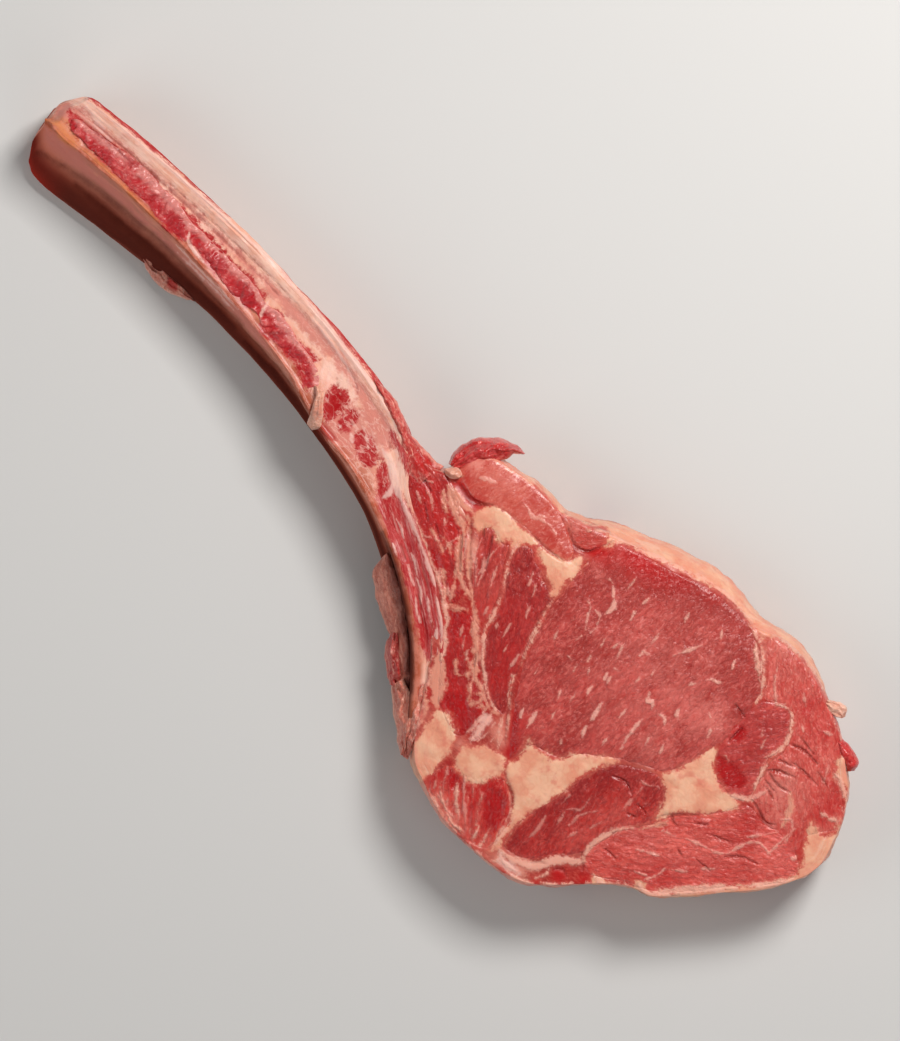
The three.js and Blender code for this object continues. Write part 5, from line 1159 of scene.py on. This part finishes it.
    # the far end: pale compact bone round a red spongy middle
    sponge = desk.step(desk.noise(place, 0.8, 2), 0.45, 0.6)
    marrow = desk.mix(sponge, tint(150, 44, 38), tint(206, 128, 108))
    ended = desk.attribute("ended")
    colour = desk.mix(desk.step(ended, 0.25, 0.5), colour, tint(218, 152, 136))
    colour = desk.mix(desk.step(ended, 0.5, 0.7), colour, marrow)
    height = desk.math("ADD", desk.math("MULTIPLY", streaks, 0.7), desk.math("MULTIPLY", red["Height"], 0.8))
    height = desk.math("ADD", height, desk.math("MULTIPLY", strands, 0.4))
    shine = desk.math("ADD", 0.34, desk.math("MULTIPLY", warp, 0.3))
    wetShader(desk, colour, shine, height, {"bump": 0.45, "bumpDepth": 0.7, "coat": desk.math("MULTIPLY", facing, 0.35), "coatRough": 0.26, "gloss": 0.0, "soft": 0.12})
    return material


makeRib()


# The strip of red flesh in the rib's bed: x, y, half width. Folds cross it, high and pink, with deep red between.
fleshCourse = [
    (-231, 52, 1.6), (-226, 51.4, 3.4), (-212, 51.4, 4.2), (-197, 51.2, 5), (-180, 49.6, 5.2), (-168, 47.6, 6), (-160, 47, 5.4),
    (-152, 47.4, 4.4), (-142, 46, 5), (-130, 44, 5), (-120, 42.8, 5), (-112, 42, 3.4), (-104, 40.4, 5.2), (-93, 38, 4.4),
    (-83, 36.6, 3.8), (-77, 33.4, 4.6), (-72, 30, 3),
]


def makeFlesh():
    line = smoothLine(fleshCourse, 460)
    run = np.gradient(line[:, :2], axis=0)
    sideways = np.stack([-run[:, 1], run[:, 0]], -1) / np.hypot(*run.T)[:, None]
    angle = np.linspace(0, 2 * np.pi, 90, endpoint=False)
    ragged = 1 + 0.2 * cloudNoise(line[:, 0], line[:, 1], 0, 7, 91, 3)
    reach = np.cos(angle) * (line[:, 2] * ragged)[:, None]
    plan = line[:, None, :2] + sideways[:, None] * reach[..., None]
    x, y = plan[..., 0], plan[..., 1]
    crown = np.sin(angle) * np.where(np.sin(angle) > 0, 0.75, 3.0)
    slant = fibreNoise(x + 1.4 * cloudNoise(x, y, 0, 6, 94, 2), y, 62, 3.2, 8, 95, 3)
    folds = 1 - np.abs(slant) * 1.5
    lumps = 0.9 * folds + 0.35 * cloudNoise(x, y, 0, 2.2, 97, 2)
    height = 33.1 + crown + 0.85 * lumps * ease(np.sin(angle), 0.0, 0.55)
    rings = np.concatenate([plan, height[..., None]], -1)
    values = {"lump": lumps, "acrossShare": np.broadcast_to(np.cos(angle), x.shape), **ribMarks(x, y)}
    poles = [[line[0, 0] - 1.5, line[0, 1], 32.6], [line[-1, 0] + 1, line[-1, 1] - 1, 32.6]]
    skinPiece("ribFlesh", rings, poles, values, fleshMaterial(), ["rib_flesh"])


def fleshMaterial():
    material, desk = newMaterial("ribFlesh")
    place = objectPlace(desk)
    red = useGroup(desk, leanGrain, {"Place": place, "Lean": tint(208, 82, 80), "Deep": tint(180, 42, 46),
                                     "Pale": tint(222, 144, 136), "Streak": 0.6})
    lumps = desk.step(desk.attribute("lump"), 0.0, 0.9)
    colour = desk.mix(lumps, tint(182, 30, 36), red["Color"])
    edge = desk.step(desk.math("ADD", desk.attribute("acrossShare"), desk.math("MULTIPLY", red["Warp"], 0.7)), -0.1, 0.7)
    colour = desk.mix(desk.math("MULTIPLY", edge, 0.85), colour, tint(212, 134, 126))
    # creases are painted dark here too: painted shade
    for name, ragged, soft, share, tone in (("blood", 3.0, 1.2, 0.75, (168, 20, 30)), ("crease", 1.2, 0.6, 0.7, (140, 40, 40)),
                                            ("white", 1.7, 0.6, 0.8, (238, 190, 176))):
        shifted = desk.math("ADD", desk.attribute(name), desk.math("MULTIPLY", red["Warp"], ragged))
        colour = desk.mix(desk.math("MULTIPLY", desk.step(shifted, soft, -soft), share), colour, tint(*tone))
    shine = desk.math("ADD", 0.36, desk.math("MULTIPLY", red["Warp"], 0.3))
    wetShader(desk, colour, shine, red["Height"], {"bump": 0.7, "bumpDepth": 0.5, "coat": 0.15, "soft": 0.16})
    return material


makeFlesh()
print("rib ready")


# ---------- flaps and scraps ----------

# A soft sheet between two edges of matching points (x, y, z): rounded at its rim, thick by "thick", lifted in the
# middle by "arch" and creased along its length by "folds".
def makeSheet(name, sheet, material, nodes):
    count, columns = sheet.get("rows", 110), sheet.get("columns", 30)
    first, second = smoothLine(sheet["first"], count)[:, None], smoothLine(sheet["second"], count)[:, None]
    share = (0.5 - 0.5 * np.cos(np.pi * np.linspace(0, 1, columns)))[None, :, None]
    middle = first + (second - first) * share
    middle[..., 0] += 0.5 * cloudNoise(middle[..., 0], middle[..., 1], 0, 4, 17, 3)
    middle[..., 1] += 0.5 * cloudNoise(middle[..., 0], middle[..., 1], 0, 4, 27, 3)
    x, y, z = np.moveaxis(middle, -1, 0)
    wide = np.linalg.norm(second - first, axis=-1)
    body = np.sqrt(np.maximum(4 * share[..., 0] * (1 - share[..., 0]), 0)) * np.minimum(sheet["thick"], wide * 0.9) / 2
    grain = cloudNoise(x, y, z, 6, 7, 3)
    folds = cloudNoise(share[..., 0] * 5, np.linspace(0, 3, count)[:, None], 0, 1, 9, 2)
    centre = z + sheet.get("arch", 0) * np.sin(np.pi * share[..., 0]) + sheet.get("folds", 0.5) * (grain + folds) * body / sheet["thick"] * 2
    top, bottom = centre + body, centre - body
    rings = np.concatenate([np.stack([x, y, top], -1), np.stack([x, y, bottom], -1)[:, -2:0:-1]], 1)
    poles = [first[0, 0] * 0.5 + second[0, 0] * 0.5, first[-1, 0] * 0.5 + second[-1, 0] * 0.5]
    place = share[..., 0] + 0 * x
    values = {"across": np.concatenate([place, place[:, -2:0:-1]], 1),
              "blood": patchField(rings[..., 0], rings[..., 1], sheet.get("blood", []))}
    return skinPiece(name, rings, poles, values, material, nodes)


# A flap's finish: lean grain, paler along its rims, with blood where it is marked.
def flapMaterial(name, look):
    material, desk = newMaterial(name)
    tones = {"Lean": tint(*look["lean"]), "Deep": tint(*look["deep"]), "Pale": tint(*look["pale"])}
    place = objectPlace(desk, -math.radians(look["fibre"]))
    grain = useGroup(desk, leanGrain, {"Place": place, "Streak": look["streak"], **tones})
    rim = desk.math("ABSOLUTE", desk.math("SUBTRACT", desk.attribute("across"), 0.5))
    rim = desk.step(desk.math("ADD", rim, desk.math("MULTIPLY", grain["Warp"], 0.15)), 0.34, 0.5)
    colour = desk.mix(desk.math("MULTIPLY", rim, 0.6), grain["Color"], tones["Pale"])
    # the first edge may lie in a fold's shade
    shade = desk.step(desk.math("ADD", desk.attribute("across"), desk.math("MULTIPLY", grain["Warp"], 0.08)), 0.6, 0.1)
    colour = desk.mix(desk.math("MULTIPLY", shade, look.get("shade", 0.0)), colour, tint(104, 42, 36))
    blood = desk.math("ADD", desk.attribute("blood"), desk.math("MULTIPLY", grain["Warp"], 1.6))
    colour = desk.mix(desk.math("MULTIPLY", desk.step(blood, 0.9, -0.9), 0.85), colour, tint(182, 30, 28))
    shine = desk.math("ADD", look.get("rough", 0.34), desk.math("MULTIPLY", grain["Warp"], 0.25))
    wetShader(desk, colour, shine, grain["Height"], look)
    return material


filmFinish = {"streak": 0.8, "coat": 0.1, "gloss": 0.15}
lipSkin = flapMaterial("lipSkin", {"lean": (214, 130, 110), "deep": (176, 88, 72), "pale": (234, 164, 144), "fibre": -40, "shade": 0.7, **filmFinish})
foldSkin = flapMaterial("foldSkin", {"lean": (232, 146, 124), "deep": (194, 100, 84), "pale": (242, 186, 164), "fibre": -55, "shade": 0.15, **filmFinish})
creamFilm = flapMaterial("creamFilm", {"lean": (228, 170, 146), "deep": (212, 136, 114), "pale": (238, 192, 172), "fibre": 30, "streak": 0.3})
pinkFilm = flapMaterial("pinkFilm", {"lean": (218, 148, 128), "deep": (196, 102, 88), "pale": (238, 186, 168), "fibre": -50, **filmFinish})
redFilm = flapMaterial("redFilm", {"lean": (200, 84, 76), "deep": (178, 44, 42), "pale": (230, 158, 142), "fibre": -30, **filmFinish})
sheets = {
    "lipFilm": {
        "first": [(1.6, -5.4, 24), (7, -8, 26), (14.2, -12.6, 27.4), (21.4, -18, 28), (29.4, -25, 27), (36.6, -32, 26), (43.4, -39.4, 25), (49.4, -46, 24)],
        "second": [(0.6, -9, 17), (2, -17, 15), (7.6, -22.2, 15), (14, -27, 15), (21, -30.8, 15), (27.4, -34.6, 15), (34, -42, 15), (41, -49.6, 15)],
        "thick": 5, "arch": 2, "folds": 0.8, "look": lipSkin},
    "lipLump": {
        "first": [(28.6, -29.8, 20), (33, -34.2, 21), (37.6, -38.8, 22), (42, -43.4, 22), (45.6, -47.8, 20)],
        "second": [(26, -32.6, 14), (26.8, -38, 13), (31.4, -43.4, 13), (36, -47.4, 14), (40.6, -51.4, 15)],
        "thick": 7, "arch": 3, "folds": 2.4, "look": redFilm, "blood": [[(37, -40), (40, -42.6), (42, -46), (40, -45.4)]]},
    "lowerFold": {
        "first": [(43.4, -44.6, 24), (49.6, -47, 28), (55, -51.4, 30), (59.4, -57.4, 31), (62.8, -64.4, 30), (65.8, -70.8, 26)],
        "second": [(41.4, -51.4, 17), (46.2, -56.4, 17), (51.6, -61.4, 17), (56.2, -65, 17), (60.8, -69, 17), (65, -72.4, 17)],
        "thick": 6, "arch": 2.2, "folds": 2, "look": foldSkin},
    "footStrand": {
        "first": [(54, -40, 33.4), (57.6, -43.4, 33.2), (60.6, -48, 33.2), (63.4, -54, 32.8), (65.8, -62, 31.6), (68.6, -71, 25)],
        "second": [(50.6, -42, 31), (50.6, -45.6, 30), (52.4, -50.4, 29), (56.4, -57.6, 28), (60.4, -64.8, 25), (64.6, -72, 18)],
        "thick": 4.4, "arch": 1.6, "folds": 1.6, "look": pinkFilm, "blood": [[(55, -43), (58, -45), (58.6, -48), (56, -47)]]},
    "edgeFringe": {
        "first": [(-53, 50.4, 30), (-48, 50.8, 30.4), (-42, 49.9, 31), (-36, 47.6, 31.4), (-30, 44.6, 31.4), (-25, 42.2, 31), (-20, 41.2, 31),
                  (-12, 40.4, 31), (-4, 40, 31.6)],
        "second": [(-53, 49, 31.6), (-48, 46.6, 34), (-42, 44.4, 34.4), (-36, 41.6, 34.6), (-30, 38.8, 34.4), (-25, 35.6, 34.2), (-20, 31.8, 34.4),
                   (-14, 27.6, 34.4), (-8, 25.4, 33.4)],
        "thick": 4.4, "arch": 2, "folds": 1.2, "look": redFilm, "blood": [[(-16, 37), (-10, 38), (-8, 33), (-14, 31)]]},
    "tendon": {
        "first": [(-72, 30.6, 34), (-69, 28, 36), (-66.6, 23.6, 36.4), (-64.6, 19, 34), (-63, 15.4, 30)],
        "second": [(-66, 31.6, 34), (-63, 27, 36), (-60, 22, 36.4), (-58, 18, 34), (-60, 15, 30)],
        "thick": 3, "arch": 0.8, "folds": 0.8, "look": creamFilm},
}
for name, sheet in sheets.items():
    makeSheet(name, {**sheet}, sheet["look"], ["rib_bone"])
scrapSheet = {
    "first": [(-173.6, 26, 3.6), (-168, 26.6, 6), (-158, 27.4, 7), (-148, 27.2, 6), (-138.6, 26, 3.4)],
    "second": [(-172.4, 25, 3.2), (-166, 21.9, 3.4), (-157, 20.6, 3.6), (-149, 21.4, 3.4), (-140.6, 25, 3.2)],
    "thick": 4.4, "arch": 0.8, "folds": 1.5, "blood": [[(-156, 26), (-151, 26.4), (-149, 23.4), (-153, 22.6)]]}
makeSheet("ribScrap", scrapSheet, pinkFilm, ["rib_scrap"])
curlFilm = flapMaterial("curlFilm", {"lean": (206, 44, 44), "deep": (178, 14, 20), "pale": (226, 116, 104), "fibre": 60, "streak": 0.3,
                                     "rough": 0.3, "coat": 0.3})
curlSheet = {
    "first": [(-3.6, 42.4, 24), (-4.6, 47, 25), (-4, 53, 25.4), (-1.4, 58.6, 26), (2.6, 63.2, 26), (8, 67, 26), (14, 68.8, 26), (20, 68.4, 26)],
    "second": [(1.8, 42.8, 31.6), (4, 47, 32.4), (6.6, 51.6, 33), (10, 55.4, 33.2), (13.6, 58.4, 33), (15.8, 62, 32), (16.8, 65, 30.6), (19.6, 67.4, 28)],
    "thick": 10, "arch": 3.2, "folds": 2.6, "rows": 120, "columns": 40, "blood": [[(3, 57), (8, 59), (12, 61), (12.6, 64), (8, 62), (3, 60)]]}
makeSheet("curlFlap", curlSheet, curlFilm, ["curl_flap"])
nubs = {
    "edgeNub": {"first": [(196, 71, 31), (199.6, 73.4, 32), (202.4, 74, 32.4), (204.6, 73.6, 32), (206.6, 70.6, 31)],
                "second": [(195.4, 67, 33), (199, 67, 34), (202, 67.4, 34), (204.4, 67.6, 33), (206, 68.6, 32)], "thick": 4.4,
                "look": creamFilm, "folds": 1.5},
    "creamKnob": {"first": [(-3, 40, 34), (-1, 42.4, 35), (2, 43.6, 35.6), (4.8, 42.6, 36), (5, 41, 36)],
                  "second": [(-2.6, 38.8, 35), (-0.6, 38.2, 36.4), (2, 38.6, 37), (4, 39.8, 37), (5, 40.6, 36.4)], "thick": 4.5, "look": creamFilm, "arch": 1},
    "edgeLump": {"first": [(210, 62, 30), (215, 61.6, 31), (220, 61, 31.4), (224.6, 58.6, 31), (225.6, 54.6, 30)],
                 "second": [(210.4, 58, 33), (214, 56.4, 34), (218, 55, 34), (221, 53.6, 34), (223, 52, 32)], "thick": 6, "arch": 1,
                 "look": curlFilm},
}
for name, nub in nubs.items():
    makeSheet(name, nub, nub["look"], ["fat_and_silverskin"])
print("flaps ready")


# ---------- floor, light and camera ----------

def makeStage():
    half = 2.5
    mesh = bpy.data.meshes.new("floor")
    mesh.from_pydata([(-half, -half, -0.0003), (half, -half, -0.0003), (half, half, -0.0003), (-half, half, -0.0003)],
                     [], [(0, 1, 2, 3)])
    floor = bpy.data.objects.new("floor", mesh)
    bpy.context.scene.collection.objects.link(floor)
    material, desk = newMaterial("paleFloor")
    shader = desk.add("ShaderNodeBsdfPrincipled", {"Base Color": (0.6, 0.595, 0.585, 1), "Roughness": 0.9,
                                                   "Specular IOR Level": 0.2})
    desk.put(desk.add("ShaderNodeOutputMaterial").inputs["Surface"], shader.outputs["BSDF"])
    mesh.materials.append(material)


studio = {
    "key": {"from": (0.02, 0.85, 0.95), "power": 16, "size": 0.4, "color": (1.0, 0.975, 0.95)},
    "fill": {"from": (-0.72, -0.85, 0.8), "power": 5.8, "size": 1.0, "color": (1.0, 0.98, 0.97)},
    "side": {"from": (1.15, -0.35, 0.7), "power": 3.6, "size": 1.0, "color": (1.0, 0.99, 0.98)},
    "sky": 0.155,
}


# An area light that looks at the steak.
def makeLamp(name, lamp):
    light = bpy.data.lights.new(name, "AREA")
    light.energy, light.size, light.color = lamp["power"], lamp["size"], lamp["color"]
    holder = bpy.data.objects.new(name, light)
    holder.location = lamp["from"]
    x, y, z = lamp["from"][0] - 0.03, lamp["from"][1], lamp["from"][2] - 0.02
    holder.rotation_euler = (math.atan2(math.hypot(x, y), z), 0, math.atan2(x, -y))
    bpy.context.scene.collection.objects.link(holder)


def makeLight():
    for name in ("key", "fill", "side"):
        makeLamp(name + "Lamp", studio[name])
    world = bpy.data.worlds.new("studio")
    bpy.context.scene.world = world
    world.use_nodes = True
    world.node_tree.nodes["Background"].inputs["Color"].default_value = (1, 0.99, 0.98, 1)
    world.node_tree.nodes["Background"].inputs["Strength"].default_value = studio["sky"]
    bpy.context.scene.view_settings.view_transform = "Standard"


# The view is straight down. The steak lies at a slant in it, so the camera is turned by that slant instead.
view = {"lens": 135, "slant": 40, "middle": (13.8, 23.5), "scale": 0.45, "level": 30, "pixels": 1041}


def makeCamera():
    camera = bpy.data.objects.new("camera", bpy.data.cameras.new("camera"))
    camera.data.lens, camera.data.sensor_width = view["lens"], 36
    away = view["pixels"] * view["scale"] * view["lens"] / 36
    camera.location = (view["middle"][0] * mm, view["middle"][1] * mm, (view["level"] + away) * mm)
    camera.rotation_euler = (0, 0, math.radians(view["slant"]))
    camera.data.clip_end = 20
    bpy.context.scene.collection.objects.link(camera)
    bpy.context.scene.camera = camera


makeStage()
makeLight()
makeCamera()
